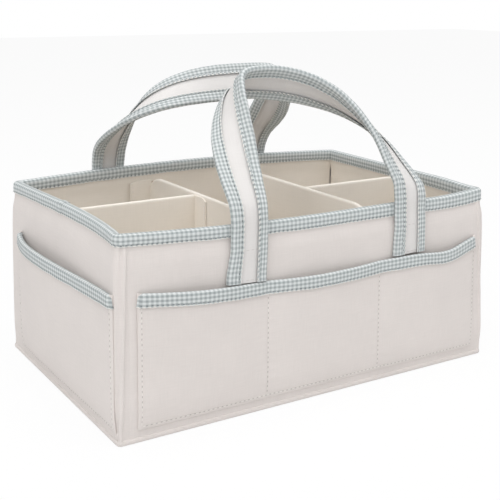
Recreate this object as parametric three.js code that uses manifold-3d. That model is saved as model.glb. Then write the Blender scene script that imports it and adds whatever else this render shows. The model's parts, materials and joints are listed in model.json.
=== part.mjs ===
// A soft-sided caddy: board-stiffened canvas walls, outside pockets, movable dividers
// and two padded strap handles, all edged with checked binding tape.
// Millimetres, +Z up. X runs along the length, the front wall faces -Y, and the origin
// is on the floor under the middle of the base.

import * as THREE from 'three';
import Module from 'manifold-3d';
import { mergeVertices } from 'three/addons/utils/BufferGeometryUtils.js';

// Body of the caddy
const LENGTH = 380; // outside, at the base
const DEPTH = 246; // outside, at the base
const HEIGHT = 165; // floor to the top of the rim binding
const DRAW_IN = 6; // how far each wall leans in by the rim

// Layers and gaps
const CANVAS = 1;
const BOARD = 3;
const LINING = 0.8;
const TAPE = 0.6; // thickness of the binding tape
const CLEARANCE = 0.3; // between neighbouring layers

// Seams
const WELT_PROUD = 0.8; // how far the corner seam stands out of the walls
const WELT_ROUND = 3;
const BASE_WELT_WIDTH = 4;
const BASE_ROUND = 8; // corner radius of the base
const RIM_TAPE = 12; // depth of the tape on the rim

// Outside pockets
const POCKET_FOOT = 9; // height of the bottom seam
const POCKET_TOP = 116; // height of the mouth at its ends
const POCKET_DIP = 9; // how far the mouth sags in the middle
const POCKET_INSET = 17; // from the wall's end to the pocket's side seam, long walls
const END_POCKET_INSET = 12; // the same on the end walls
const POCKET_BELLY = 10; // how far a long wall's pocket stands open
const END_POCKET_BELLY = 15; // the same on the end walls
const POCKET_TAPE = 12; // depth of the tape on the mouth
const LONG_WALL_POCKET_COUNT = 3;
const END_WALL_POCKET_COUNT = 1;
const POCKET_STEPS = 4; // facets across one pocket
const POCKET_LEVELS = [0, 0.4, 1]; // shares of the height from the bottom seam to the mouth tape
const POCKET_FULLNESS = 0.6; // power by which the pocket opens over that height

// Handles
const HANDLE_WIDTH = 36;
const HANDLE_PAD = 3; // thickness of the padded strap
const HANDLE_TAPE = 11; // width of the tape on each face
const HANDLE_SPAN = 165; // between the middles of the two legs
const FOOT_GAP = 1.5; // from the pocket's mouth to the sewn end
const STITCH_DROP = 13; // from the rim binding down to the upper stitch line
const HANDLE_STEPS = 32;
const SHOULDER_STEPS = 48;
const HINGE_EASE = 1.5; // how far the strap's inner edge is trimmed back at the rim

// How each soft handle has fallen. Turns are in shares of the strap's length, and rounds are the
// powers of the rounded shoulders.
const FRONT_FALL = {
  offset: 10.5, // from the middle of the wall to the middle of the handle
  reach: 127, // from the rim to the crown, along the leaning strap
  lean: THREE.MathUtils.degToRad(42),
  bend: 16, // length over which the strap starts to lean
  crown: -46, // place of the crown along the span
  turn: THREE.MathUtils.degToRad(103), // of the strap about its own length
  firstTurn: [0.03, 0.49],
  secondTurn: [0, 0.39],
  firstRound: 1.6,
  secondRound: 2.36,
};
const BACK_FALL = {
  offset: 4.5,
  reach: 121,
  lean: THREE.MathUtils.degToRad(48.5),
  bend: 40,
  crown: -60,
  turn: THREE.MathUtils.degToRad(104),
  firstTurn: [0, 0.435],
  secondTurn: [0, 0.5],
  firstRound: 3,
  secondRound: 3.6,
};

// Dividers
const LEFT_CROSS_PLACE = 46; // from the middle of the caddy to its left cross divider
const RIGHT_CROSS_PLACE = 58; // the same for the right one
const LEFT_SHORT_PLACE = 18; // Y of the short divider in the left end
const RIGHT_SHORT_PLACE = -7; // Y of the short divider in the right end
const DIVIDER_DROP = 7; // from the rim down to the dividers' top
const RIM_END_ROUND = 12; // radius of a divider's top corner under the rim
const RIM_END_FLAP_DROP = 10; // from a divider's top to the top of its flap there
const CROSS_END_ROUND = 3; // the same two sizes where a short divider meets a cross divider
const CROSS_END_FLAP_DROP = 1;
const FLAP_WIDTH = 22; // hook-and-loop flap that folds onto the wall
const FLAP_THICKNESS = 1.2;
const FLAP_OVERLAP = 0.5; // how far the flap runs into the divider's cover

// Heights and depths that follow from the sizes above
const WALL = CANVAS + BOARD + LINING + 2 * CLEARANCE; // also the width of the corner seams
const WALL_FOOT = CANVAS + BOARD + 2 * CLEARANCE;
const FLOOR_TOP = WALL_FOOT + LINING;
const WALL_TOP = HEIGHT - TAPE - CLEARANCE;
const LINING_HALF_LENGTH = LENGTH / 2 - WALL;
const LINING_HALF_DEPTH = DEPTH / 2 - WALL;
const DIVIDER_TOP = HEIGHT - DIVIDER_DROP;
const RIM_TAPE_FOOT = HEIGHT - RIM_TAPE - CLEARANCE;
const MOUTH_TAPE = POCKET_TAPE - TAPE - CLEARANCE; // depth of the mouth tape below the cloth's edge
const DIVIDER = BOARD + 2 * LINING + 2 * CLEARANCE;
const HANDLE_HALF_THICKNESS = HANDLE_PAD / 2 + CLEARANCE + TAPE;

const FINISHES = {
  canvas: new THREE.MeshStandardMaterial({ color: 0xe4e0db, roughness: 0.92, metalness: 0 }),
  lining: new THREE.MeshStandardMaterial({ color: 0xd8cfbf, roughness: 0.94, metalness: 0 }),
  checked: new THREE.MeshStandardMaterial({ color: 0xb9c3c3, roughness: 0.9, metalness: 0 }),
  board: new THREE.MeshStandardMaterial({ color: 0xcbbd9f, roughness: 0.8, metalness: 0 }),
};

const wasm = await Module();
wasm.setup();

const caddy = new THREE.Group();

function add(group, name, geometry, finish) {
  const mesh = new THREE.Mesh(geometry, FINISHES[finish]);
  mesh.name = name;
  group.add(mesh);
}

function vector(x, y, z) {
  return new THREE.Vector3(x, y, z);
}

function smooth(value) {
  return THREE.MathUtils.smoothstep(value, 0, 1);
}

// Geometry helpers

function slab(low, high) {
  const size = high.clone().sub(low);
  const middle = high.clone().add(low).multiplyScalar(0.5);
  const geometry = new THREE.BoxGeometry(size.x, size.y, size.z);
  return geometry.translate(middle.x, middle.y, middle.z);
}

// Leans upright geometry in with the walls: half is the base's half size along X, reach along Y
function leanIn(geometry, half, reach) {
  const points = geometry.attributes.position;
  for (let i = 0; i < points.count; i++) {
    const rise = points.getZ(i) / HEIGHT;
    points.setX(i, points.getX(i) * (1 - (DRAW_IN / half) * rise));
    points.setY(i, points.getY(i) * (1 - (DRAW_IN / reach) * rise));
  }
  geometry.computeVertexNormals();
  return geometry;
}

function leanBody(geometry) {
  return leanIn(geometry, LENGTH / 2, DEPTH / 2);
}

// The triangles of an end face, from its flat outline
function flatCap(outline) {
  return THREE.ShapeUtils.triangulateShape(outline, []);
}

// The triangles of a sheet's end face, whose outline runs up one side and down the other, rung by rung
function sheetCap(count) {
  const cap = [];
  for (let rung = 0; rung + 1 < count / 2; rung++) {
    const across = count - 1 - rung;
    cap.push([rung, rung + 1, across], [rung + 1, across - 1, across]);
  }
  return cap;
}

// A closed solid through rings of equal point counts; cap holds the end rings' triangles.
// Side faces from number crossedFrom on are split along their other diagonal, so that a sheet's two
// sides, and a tape's two sides and the cloth that it wraps, have the same facets.
function sweep(rings, cap, crossedFrom = Infinity) {
  const count = rings[0].length;
  const index = [];
  for (let ring = 0; ring + 1 < rings.length; ring++) {
    for (let i = 0; i < count; i++) {
      const a = ring * count + i;
      const b = ring * count + ((i + 1) % count);
      if (i >= crossedFrom) index.push(a, b, a + count, b, b + count, a + count);
      else index.push(a, b, b + count, a, b + count, a + count);
    }
  }
  const last = (rings.length - 1) * count;
  for (const [a, b, c] of cap) {
    index.push(a, c, b, last + a, last + b, last + c);
  }
  const points = rings.flat();
  let volume = 0;
  for (let i = 0; i < index.length; i += 3) {
    const [a, b, c] = index.slice(i, i + 3).map((k) => points[k]);
    volume += a.dot(b.clone().cross(c));
  }
  if (volume < 0) index.reverse();
  const geometry = new THREE.BufferGeometry().setFromPoints(points);
  geometry.setIndex(index);
  geometry.computeVertexNormals();
  return geometry;
}

function toSolid(geometry) {
  const bare = geometry.clone();
  bare.deleteAttribute('normal');
  bare.deleteAttribute('uv');
  const merged = mergeVertices(bare, 1e-4);
  const mesh = new wasm.Mesh({
    numProp: 3,
    vertProperties: new Float32Array(merged.attributes.position.array),
    triVerts: new Uint32Array(merged.index.array),
  });
  return new wasm.Manifold(mesh);
}

function fromSolid(solid) {
  const mesh = solid.getMesh();
  const geometry = new THREE.BufferGeometry();
  geometry.setAttribute('position', new THREE.BufferAttribute(new Float32Array(mesh.vertProperties), 3));
  geometry.setIndex([...mesh.triVerts]);
  geometry.computeVertexNormals();
  return geometry;
}

// The outline of a tape folded over an edge at the origin, opening downwards:
// first number across the edge, second number up
function foldedTape(thickness, depth) {
  const inside = thickness / 2 + CLEARANCE;
  const outside = inside + TAPE;
  const top = CLEARANCE;
  return [
    new THREE.Vector2(inside, -depth),
    new THREE.Vector2(outside, -depth),
    new THREE.Vector2(outside, top + TAPE),
    new THREE.Vector2(-outside, top + TAPE),
    new THREE.Vector2(-outside, -depth),
    new THREE.Vector2(-inside, -depth),
    new THREE.Vector2(-inside, top),
    new THREE.Vector2(inside, top),
  ];
}

// Base

function roundedRectangle(halfX, halfY, radius) {
  const shape = new THREE.Shape();
  shape.absarc(halfX - radius, halfY - radius, radius, 0, Math.PI / 2);
  shape.absarc(radius - halfX, halfY - radius, radius, Math.PI / 2, Math.PI);
  shape.absarc(radius - halfX, radius - halfY, radius, Math.PI, Math.PI * 1.5);
  shape.absarc(halfX - radius, radius - halfY, radius, Math.PI * 1.5, Math.PI * 2);
  return shape;
}

function baseSlab(inset, low, high) {
  const x = LENGTH / 2 - inset;
  const y = DEPTH / 2 - inset;
  return slab(vector(-x, -y, low), vector(x, y, high));
}

function addBase() {
  const ring = roundedRectangle(LENGTH / 2, DEPTH / 2, BASE_ROUND);
  const inner = roundedRectangle(
    LENGTH / 2 - BASE_WELT_WIDTH,
    DEPTH / 2 - BASE_WELT_WIDTH,
    BASE_ROUND - BASE_WELT_WIDTH,
  );
  ring.holes.push(inner);
  const depth = WALL_FOOT - CLEARANCE;
  const welt = new THREE.ExtrudeGeometry(ring, { depth, bevelEnabled: false, curveSegments: 5 });
  add(caddy, 'base_welt', leanBody(welt), 'canvas');

  const roundInset = (BASE_ROUND - BASE_WELT_WIDTH) * (1 - Math.SQRT1_2);
  const inset = BASE_WELT_WIDTH + roundInset + CLEARANCE;
  const boardTop = CANVAS + CLEARANCE + BOARD;
  add(caddy, 'base_panel', baseSlab(inset, 0, CANVAS), 'canvas');
  add(caddy, 'base_board', baseSlab(inset, CANVAS + CLEARANCE, boardTop), 'board');
  const lining = baseSlab(WALL + CLEARANCE, boardTop + CLEARANCE, FLOOR_TOP);
  add(caddy, 'base_lining', leanBody(lining), 'lining');
}

// Corner seams

function addCornerWelts() {
  const outline = new THREE.Shape();
  const out = WELT_PROUD;
  outline.moveTo(-WALL, -WALL);
  outline.lineTo(out, -WALL);
  outline.absarc(out - WELT_ROUND, out - WELT_ROUND, WELT_ROUND, 0, Math.PI / 2);
  outline.lineTo(-WALL, out);
  const depth = RIM_TAPE_FOOT - WALL_FOOT;
  const corners = [
    ['front_left', Math.PI],
    ['front_right', Math.PI * 1.5],
    ['back_right', 0],
    ['back_left', Math.PI / 2],
  ];
  for (const [corner, turn] of corners) {
    const welt = new THREE.ExtrudeGeometry(outline, { depth, bevelEnabled: false, curveSegments: 4 });
    const x = Math.sign(Math.cos(turn + Math.PI / 4)) * (LENGTH / 2);
    const y = Math.sign(Math.sin(turn + Math.PI / 4)) * (DEPTH / 2);
    welt.rotateZ(turn).translate(x, y, WALL_FOOT);
    add(caddy, `corner_welt_${corner}`, leanBody(welt), 'canvas');
  }
}

// One wall with its pocket, in a frame where the wall faces -Y

function addWallLayers(group, side, half, reach) {
  const x = half - WALL - CLEARANCE;
  const layers = [
    ['panel', CANVAS, 'canvas'],
    ['board', BOARD, 'board'],
    ['lining', LINING, 'lining'],
  ];
  let depth = -reach;
  for (const [layer, thickness, finish] of layers) {
    const sheet = slab(vector(-x, depth, WALL_FOOT), vector(x, depth + thickness, WALL_TOP));
    add(group, `${side}_${layer}`, leanIn(sheet, half, reach), finish);
    depth += thickness + CLEARANCE;
  }
}

function addRimBinding(group, side, half, reach) {
  const outline = foldedTape(WALL, RIM_TAPE - TAPE - CLEARANCE);
  const middle = WALL / 2 - reach;
  const rings = [-1, 1].map((end) =>
    outline.map((point) => {
      const outwards = point.x - middle;
      const mitre = half + outwards - reach - CLEARANCE;
      return vector(end * mitre, -outwards, WALL_TOP + point.y);
    }),
  );
  add(group, `${side}_rim_binding`, leanIn(sweep(rings, flatCap(outline)), half, reach), 'checked');
}

// Height of a pocket's mouth at x, on a panel that reaches as far to both sides
function mouthHeight(x, reach) {
  return POCKET_TOP - POCKET_DIP * (1 - (x / reach) ** 2);
}

// Stations across a wall's pocket: place along the wall, how full the pocket is there, mouth height
function pocketStations(half, inset, pockets) {
  const reach = half - inset;
  const steps = pockets * POCKET_STEPS;
  const stations = [];
  for (let i = 0; i <= steps; i++) {
    const share = i / steps;
    const inPocket = (share * pockets) % 1;
    const x = reach * (2 * share - 1);
    stations.push({ x, fullness: Math.sin(Math.PI * inPocket), mouth: mouthHeight(x, reach) });
  }
  return stations;
}

// From the wall to the pocket's cloth
function pocketGap(level, fullness, belly) {
  const tapeRoom = TAPE + 2 * CLEARANCE;
  return CLEARANCE + level ** POCKET_FULLNESS * (tapeRoom + belly * fullness);
}

// The cloth opens from its bottom seam to the foot of the mouth tape and stands straight above it
function addPocket(group, side, half, reach, stations, belly) {
  const rings = stations.map(({ x, fullness, mouth }) => {
    const top = mouth - TAPE - CLEARANCE;
    const up = POCKET_LEVELS.map((level) => {
      const z = THREE.MathUtils.lerp(POCKET_FOOT, top - MOUTH_TAPE, level);
      return vector(x, -reach - pocketGap(level, fullness, belly), z);
    });
    up.push(vector(x, up.at(-1).y, top));
    const down = up.map((point) => vector(point.x, point.y - CANVAS, point.z)).reverse();
    return [...up, ...down];
  });
  const count = rings[0].length;
  const cloth = sweep(rings, sheetCap(count), count / 2);
  add(group, `${side}_pocket`, leanIn(cloth, half, reach), 'canvas');
}

function addPocketBinding(group, side, half, reach, stations, belly) {
  const outline = foldedTape(CANVAS, MOUTH_TAPE);
  const rings = stations.map(({ x, fullness, mouth }) => {
    const top = mouth - TAPE - CLEARANCE;
    const middle = reach + pocketGap(1, fullness, belly) + CANVAS / 2;
    return outline.map((point) => vector(x, -middle - point.x, top + point.y));
  });
  add(group, `${side}_pocket_binding`, leanIn(sweep(rings, flatCap(outline)), half, reach), 'checked');
}

function addWall(side, turn, half, reach, inset, pockets, belly) {
  const group = new THREE.Group();
  group.rotation.z = turn;
  addWallLayers(group, side, half, reach);
  addRimBinding(group, side, half, reach);
  const stations = pocketStations(half, inset, pockets);
  addPocket(group, side, half, reach, stations, belly);
  addPocketBinding(group, side, half, reach, stations, belly);
  caddy.add(group);
}

// Handles, in a frame where their wall faces -Y

// Outside face of a long wall at a height
function wallFace(z) {
  return DEPTH / 2 - (DRAW_IN * z) / HEIGHT;
}

const SEWN_OFFSET = CLEARANCE + HANDLE_HALF_THICKNESS;
const RIM_OFFSET = SEWN_OFFSET + CLEARANCE + TAPE;
const RIM_PLACE = wallFace(HEIGHT) + RIM_OFFSET; // the strap's middle at the rim

// The strap's three outlines, with their finish and the side from which their faces are crossed: an
// outline's first number is across the strap, its second number towards the outer face
function strapOutlines() {
  const half = HANDLE_WIDTH / 2;
  const core = half - TAPE - CLEARANCE;
  const tape = foldedTape(HANDLE_PAD, core - (half - HANDLE_TAPE));
  const across = [-core, HANDLE_TAPE - half, half - HANDLE_TAPE, core];
  const pad = [
    ...across.map((x) => new THREE.Vector2(x, -HANDLE_PAD / 2)),
    ...across.reverse().map((x) => new THREE.Vector2(x, HANDLE_PAD / 2)),
  ];
  return [
    ['strap', pad, 'canvas', Infinity],
    ['outer_binding', tape.map((p) => new THREE.Vector2(-core - p.y, p.x)), 'checked', tape.length / 2],
    ['inner_binding', tape.map((p) => new THREE.Vector2(core + p.y, -p.x)), 'checked', tape.length / 2],
  ];
}

// Half of the strap's middle line, from a leg at the rim to the crown
function shoulderPoints(fall, leg, power) {
  const { offset, reach, lean, bend, crown } = fall;
  const points = [];
  const radius = bend / lean;
  for (let i = 0; i <= SHOULDER_STEPS; i++) {
    const angle = (Math.PI / 2) * (i / SHOULDER_STEPS);
    const across = Math.cos(angle) ** (2 / power);
    const along = reach * Math.sin(angle) ** (2 / power);
    const bent = Math.min(along, bend) / radius;
    const straight = Math.max(along - bend, 0);
    const inwards = radius * (1 - Math.cos(bent)) + straight * Math.sin(lean);
    const up = radius * Math.sin(bent) + straight * Math.cos(lean);
    const x = crown + (leg - crown) * across;
    points.push(vector(offset + x, inwards - RIM_PLACE, HEIGHT + CLEARANCE + up));
  }
  return points;
}

// How much of its turn the strap has made at a share of its length
function turned(share, [start, end]) {
  return smooth((share - start) / (end - start));
}

function archFrames(fall) {
  const first = shoulderPoints(fall, -HANDLE_SPAN / 2, fall.firstRound);
  const second = shoulderPoints(fall, HANDLE_SPAN / 2, fall.secondRound).reverse();
  const curve = new THREE.CatmullRomCurve3([...first, ...second.slice(1)]);
  const radius = fall.bend / fall.lean;
  const frames = [];
  for (let i = 0; i <= HANDLE_STEPS; i++) {
    const share = i / HANDLE_STEPS;
    const place = curve.getPointAt(share);
    const along = curve.getTangentAt(share);
    if (i === 0) along.set(0, 0, 1);
    if (i === HANDLE_STEPS) along.set(0, 0, -1);
    const rise = (place.z - HEIGHT - CLEARANCE) / radius;
    const lean = rise < Math.sin(fall.lean) ? Math.asin(Math.max(rise, 0)) : fall.lean;
    const outwards = vector(0, -Math.cos(lean), Math.sin(lean));
    outwards.addScaledVector(along, -outwards.dot(along)).normalize();
    const turn = fall.turn * turned(share, fall.firstTurn) * turned(1 - share, fall.secondTurn);
    const across = along.clone().cross(outwards).multiplyScalar(Math.cos(turn));
    across.addScaledVector(outwards, Math.sin(turn));
    const face = across.clone().cross(along);
    frames.push({ place, across, face });
  }
  return frames;
}

// A sewn leg, from just above the pocket to the rim: side is -1 for the first leg and 1 for the second
function legFrames(fall, side) {
  const outerEdge = fall.offset + HANDLE_SPAN / 2 + HANDLE_WIDTH / 2;
  const foot = mouthHeight(outerEdge, LENGTH / 2 - POCKET_INSET) + FOOT_GAP;
  const heights = [
    [foot, SEWN_OFFSET],
    [RIM_TAPE_FOOT - STITCH_DROP, SEWN_OFFSET],
    [RIM_TAPE_FOOT, RIM_OFFSET],
    [HEIGHT, RIM_OFFSET],
  ];
  return heights.map(([z, offset]) => ({
    place: vector(fall.offset + side * (HANDLE_SPAN / 2), -wallFace(z) - offset, z),
    across: vector(-side, 0, 0),
    face: vector(0, -1, 0),
  }));
}

function strapRings(frames, outline) {
  return frames.map(({ place, across, face }) =>
    outline.map((point) =>
      place.clone().addScaledVector(across, point.x).addScaledVector(face, point.y),
    ),
  );
}

// Trims the strap's end so that its inner side clears the sewn leg when the handle leans in
function easeEnd(ring) {
  for (const point of ring) {
    const inwards = point.y + RIM_PLACE + HANDLE_HALF_THICKNESS;
    point.z += (HINGE_EASE * inwards) / (2 * HANDLE_HALF_THICKNESS);
  }
}

function addHandle(side, turn, fall) {
  const group = new THREE.Group();
  group.rotation.z = turn;
  const arch = archFrames(fall);
  const legs = [
    ['first', legFrames(fall, -1)],
    ['second', legFrames(fall, 1)],
  ];
  for (const [piece, outline, finish, crossedFrom] of strapOutlines()) {
    const rings = strapRings(arch, outline);
    easeEnd(rings[0]);
    easeEnd(rings.at(-1));
    add(group, `${side}_handle_${piece}`, sweep(rings, flatCap(outline), crossedFrom), finish);
    for (const [leg, frames] of legs) {
      const sewn = sweep(strapRings(frames, outline), flatCap(outline), crossedFrom);
      add(group, `${side}_handle_${leg}_end_${piece}`, sewn, finish);
    }
  }
  caddy.add(group);
}

// Dividers

// An upright sheet with rounded top corners: runs along X between its ends less inset, thick along Y
function dividerSheet([low, high], inset, bottom, top, thickness) {
  const outline = new THREE.Shape();
  outline.moveTo(low.at + inset, bottom);
  outline.lineTo(high.at - inset, bottom);
  outline.absarc(high.at - high.round, top + inset - high.round, high.round - inset, 0, Math.PI / 2);
  outline.absarc(low.at + low.round, top + inset - low.round, low.round - inset, Math.PI / 2, Math.PI);
  const sheet = new THREE.ExtrudeGeometry(outline, {
    depth: thickness,
    bevelEnabled: false,
    curveSegments: 5,
  });
  return sheet.rotateX(Math.PI / 2).translate(0, thickness / 2, 0);
}

// A cloth sleeve over a board, with a flap at each end that folds towards flapSide
function addDivider(name, ends, flapSide, turn, place) {
  const bottom = FLOOR_TOP + CLEARANCE;
  const skin = LINING + CLEARANCE;
  let cover = toSolid(dividerSheet(ends, 0, bottom, DIVIDER_TOP, DIVIDER));
  const near = flapSide * (DIVIDER / 2 - FLAP_OVERLAP);
  const far = flapSide * (DIVIDER / 2 + FLAP_WIDTH);
  const inwards = [FLAP_THICKNESS, -FLAP_THICKNESS];
  ends.forEach(({ at, flapDrop }, i) => {
    const flap = slab(
      vector(Math.min(at, at + inwards[i]), Math.min(near, far), bottom),
      vector(Math.max(at, at + inwards[i]), Math.max(near, far), DIVIDER_TOP - flapDrop),
    );
    cover = cover.add(toSolid(flap));
  });
  const hollow = dividerSheet(ends, LINING, bottom - HEIGHT, DIVIDER_TOP - LINING, BOARD + 2 * CLEARANCE);
  cover = cover.subtract(toSolid(hollow));
  const pieces = [
    ['cover', fromSolid(cover), 'lining'],
    ['board', dividerSheet(ends, skin, bottom, DIVIDER_TOP - skin, BOARD), 'board'],
  ];
  for (const [piece, geometry, finish] of pieces) {
    geometry.rotateZ(turn).translate(place.x, place.y, 0);
    add(caddy, `${name}_${piece}`, leanBody(geometry), finish);
  }
}

function addDividers() {
  const rimEnd = (at) => ({ at, round: RIM_END_ROUND, flapDrop: RIM_END_FLAP_DROP });
  const crossEnd = (at) => ({ at, round: CROSS_END_ROUND, flapDrop: CROSS_END_FLAP_DROP });
  const deep = LINING_HALF_DEPTH - CLEARANCE;
  const far = LINING_HALF_LENGTH - CLEARANCE;
  const besideCross = DIVIDER / 2 + CLEARANCE;
  const across = [rimEnd(-deep), rimEnd(deep)];
  addDivider('left_cross_divider', across, 1, Math.PI / 2, vector(-LEFT_CROSS_PLACE, 0, 0));
  addDivider('right_cross_divider', across, -1, Math.PI / 2, vector(RIGHT_CROSS_PLACE, 0, 0));
  const leftEnds = [rimEnd(-far), crossEnd(-LEFT_CROSS_PLACE - besideCross)];
  const rightEnds = [crossEnd(RIGHT_CROSS_PLACE + besideCross), rimEnd(far)];
  addDivider('left_short_divider', leftEnds, -1, 0, vector(0, LEFT_SHORT_PLACE, 0));
  addDivider('right_short_divider', rightEnds, -1, 0, vector(0, RIGHT_SHORT_PLACE, 0));
}

addBase();
addCornerWelts();
const longWall = [LENGTH / 2, DEPTH / 2, POCKET_INSET, LONG_WALL_POCKET_COUNT, POCKET_BELLY];
const endWall = [DEPTH / 2, LENGTH / 2, END_POCKET_INSET, END_WALL_POCKET_COUNT, END_POCKET_BELLY];
addWall('front', 0, ...longWall);
addWall('back', Math.PI, ...longWall);
addWall('left', -Math.PI / 2, ...endWall);
addWall('right', Math.PI / 2, ...endWall);
addHandle('front', 0, FRONT_FALL);
addHandle('back', Math.PI, BACK_FALL);
addDividers();

export default caddy;
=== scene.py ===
"""The cloth of a soft nursery caddy, sewn around its solids, and the stage that shows it.

Lengths are in metres, in the frame of the solids: X runs along the caddy, the front wall faces -Y
and +Z is up.
"""

import json
import math
from collections import namedtuple

import bpy
from bpy.props import FloatProperty, FloatVectorProperty, PointerProperty
from mathutils import Matrix, Quaternion, Vector, noise


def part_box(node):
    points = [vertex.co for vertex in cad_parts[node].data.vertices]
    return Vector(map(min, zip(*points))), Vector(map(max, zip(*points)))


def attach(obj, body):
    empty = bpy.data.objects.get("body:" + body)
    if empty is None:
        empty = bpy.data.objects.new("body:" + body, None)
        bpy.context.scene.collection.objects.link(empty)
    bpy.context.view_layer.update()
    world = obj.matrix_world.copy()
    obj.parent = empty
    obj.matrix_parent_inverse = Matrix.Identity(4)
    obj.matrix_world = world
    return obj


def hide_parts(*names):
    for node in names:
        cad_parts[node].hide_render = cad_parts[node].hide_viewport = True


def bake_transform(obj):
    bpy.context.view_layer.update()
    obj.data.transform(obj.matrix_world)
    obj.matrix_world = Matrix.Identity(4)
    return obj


bl_info = {
    "name": "Nursery Caddy",
    "version": (1, 0, 0),
    "blender": (4, 5, 0),
    "location": "View3D > Sidebar > Caddy",
    "description": "Sews the cloth of a soft caddy around its solids and sets the stage",
    "category": "Object",
}

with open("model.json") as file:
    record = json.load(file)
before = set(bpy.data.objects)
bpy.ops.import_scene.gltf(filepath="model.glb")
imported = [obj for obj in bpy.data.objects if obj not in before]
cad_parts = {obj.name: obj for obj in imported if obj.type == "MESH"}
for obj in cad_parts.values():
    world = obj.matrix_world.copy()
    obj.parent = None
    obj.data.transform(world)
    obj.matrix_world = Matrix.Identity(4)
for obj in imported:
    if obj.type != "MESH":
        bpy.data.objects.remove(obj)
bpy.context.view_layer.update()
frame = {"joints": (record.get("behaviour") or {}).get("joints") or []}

MM = 0.001
QUARTER = math.pi / 2

# Sizes that the solids give
HALF_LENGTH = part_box("base_welt")[1].x
HALF_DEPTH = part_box("base_welt")[1].y
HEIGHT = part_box("front_rim_binding")[1].z
FLOOR_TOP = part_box("base_lining")[1].z
POCKET_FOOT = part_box("front_pocket")[0].z + 1.5 * MM
POCKET_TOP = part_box("front_pocket_binding")[1].z + 4.7 * MM  # the soft mouth stands above its solid
DIVIDER_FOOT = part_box("left_cross_divider_cover")[0].z
DIVIDER_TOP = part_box("left_cross_divider_cover")[1].z

# Layers of the walls
CANVAS = 1 * MM
BOARD = 3 * MM
LINING = 0.8 * MM
TAPE = 0.6 * MM
CLEARANCE = 0.3 * MM
WELD = 0.02 * MM  # points closer than this are one
WALL = CANVAS + BOARD + LINING + 2 * CLEARANCE
LEAN = 6 * MM  # how far each wall leans in by the rim
RIM_TAPE = 11.2 * MM
RIM_FOOT = HEIGHT - RIM_TAPE

# Body
CORNER_ROUND = 3.5 * MM  # radius of the upright corners
RIM_ROUND = 6 * MM  # of the rim's tape at the corners
BASE_ROUND = 3 * MM  # of the base's seam at the corners
INNER_ROUND = 0.5 * MM  # least radius on the inside of a corner
CORNER_STEPS = 6
WALL_FULL = 1.6 * MM  # how far the walls swell out
FULL_FOOT = (4 * MM, 30 * MM)  # heights between which the swelling starts
FULL_TOP = 14 * MM  # how far below the rim's tape it ends
BOW_FORWARD = 0.6  # how much more an end wall bows towards the front
DROOP_WIDTH = 0.3  # share of a wall's half length over which its rim droops

# Base
FLOOR_WAVELENGTH = 45 * MM
WELT_HEIGHT = 3.8 * MM  # of the seam round the bottom edge
WELT_PROUD = 0.9 * MM
WELT_DEPTH = 10 * MM  # how far the seam's cloth goes in under the base
WELT_FLATNESS = 0.6
WELT_LIFT = 0.3 * MM
WELT_WAVE = (0.08 * MM, 26 * MM, 5)  # height, wavelength and seed, as for each wave in the cloth below

# Walls, whose layers all end under the rim's tape
PANEL_FOOT = 2.5 * MM
PANEL_TOP = HEIGHT - 4 * MM
PANEL_INSET = 3 * MM  # from the corner's round to the panel's edge
PANEL_TUCK = 1.1 * MM  # how far that edge sinks under the corner seam
PANEL_TUCK_REACH = 2 * MM
PANEL_WAVES = ((0.22 * MM, 38 * MM, 11), (0.12 * MM, 13 * MM, 12))
BOARD_INSET = 7 * MM
BOARD_TOP = HEIGHT - 2 * MM
LINING_TOP = HEIGHT - 3 * MM
LINING_OVERLAP = 0.4 * MM
LINING_GAP = 0.2 * MM
LINING_WAVES = ((0.25 * MM, 42 * MM, 21), (0.12 * MM, 15 * MM, 22))

# Corner seams: distances are measured from the groove
SEAM_REACH = 11 * MM  # from the middle of the corner to the seam piece's edge
SEAM_FOOT = WELT_HEIGHT * 0.7
SEAM_TOP = HEIGHT - 5 * MM
SEAM_LEAN = (-2 * MM, 2.6 * MM)  # shift of the groove onto the long wall at the base and at the rim
SEAM_WANDER = (0.35 * MM, 30 * MM)
SEAM_BAND = 1 * MM  # height of the raised band
SEAM_BAND_RISE = (1.2 * MM, 2.4 * MM)  # its slopes
SEAM_BAND_FALL = (3.5 * MM, 4.4 * MM)
# Height, middle and width of the band's lip, the groove and the short wall's edge
SEAM_RIDGES = ((0.15 * MM, 3.2 * MM, 0.7 * MM), (-0.8 * MM, 0, 1.3 * MM), (0.3 * MM, -3 * MM, 1.6 * MM))
SEAM_COVERED = (RIM_FOOT - 0.5 * MM, RIM_FOOT + 2 * MM)  # heights at which it goes flat under the tape
SEAM_CLOTH = CANVAS * 0.8
SEAM_SINK = 0.2 * MM
SEAM_EDGE_SINK = 1.4 * MM
SEAM_EDGE = 8 * MM  # from the middle of the corner to where the piece starts to sink

# Rim
RIM_CHECK = 1.1
RIM_FOLD = 0.75  # 1 for a round fold
TAPE_JOIN = -12 * MM  # from the middle of the left wall to the join of the rim tape
TAPE_OVERLAP = 4  # stations by which the tape's end laps over its start
TAPE_LAP = 0.7 * MM
TAPE_EVENING = 6  # stations over which the tape's depth is evened out
RIM_EDGE_WAVE = (0.5 * MM, 17 * MM, 31)
RIM_WAVE = (0.12 * MM, 7 * MM, 33)

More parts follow.
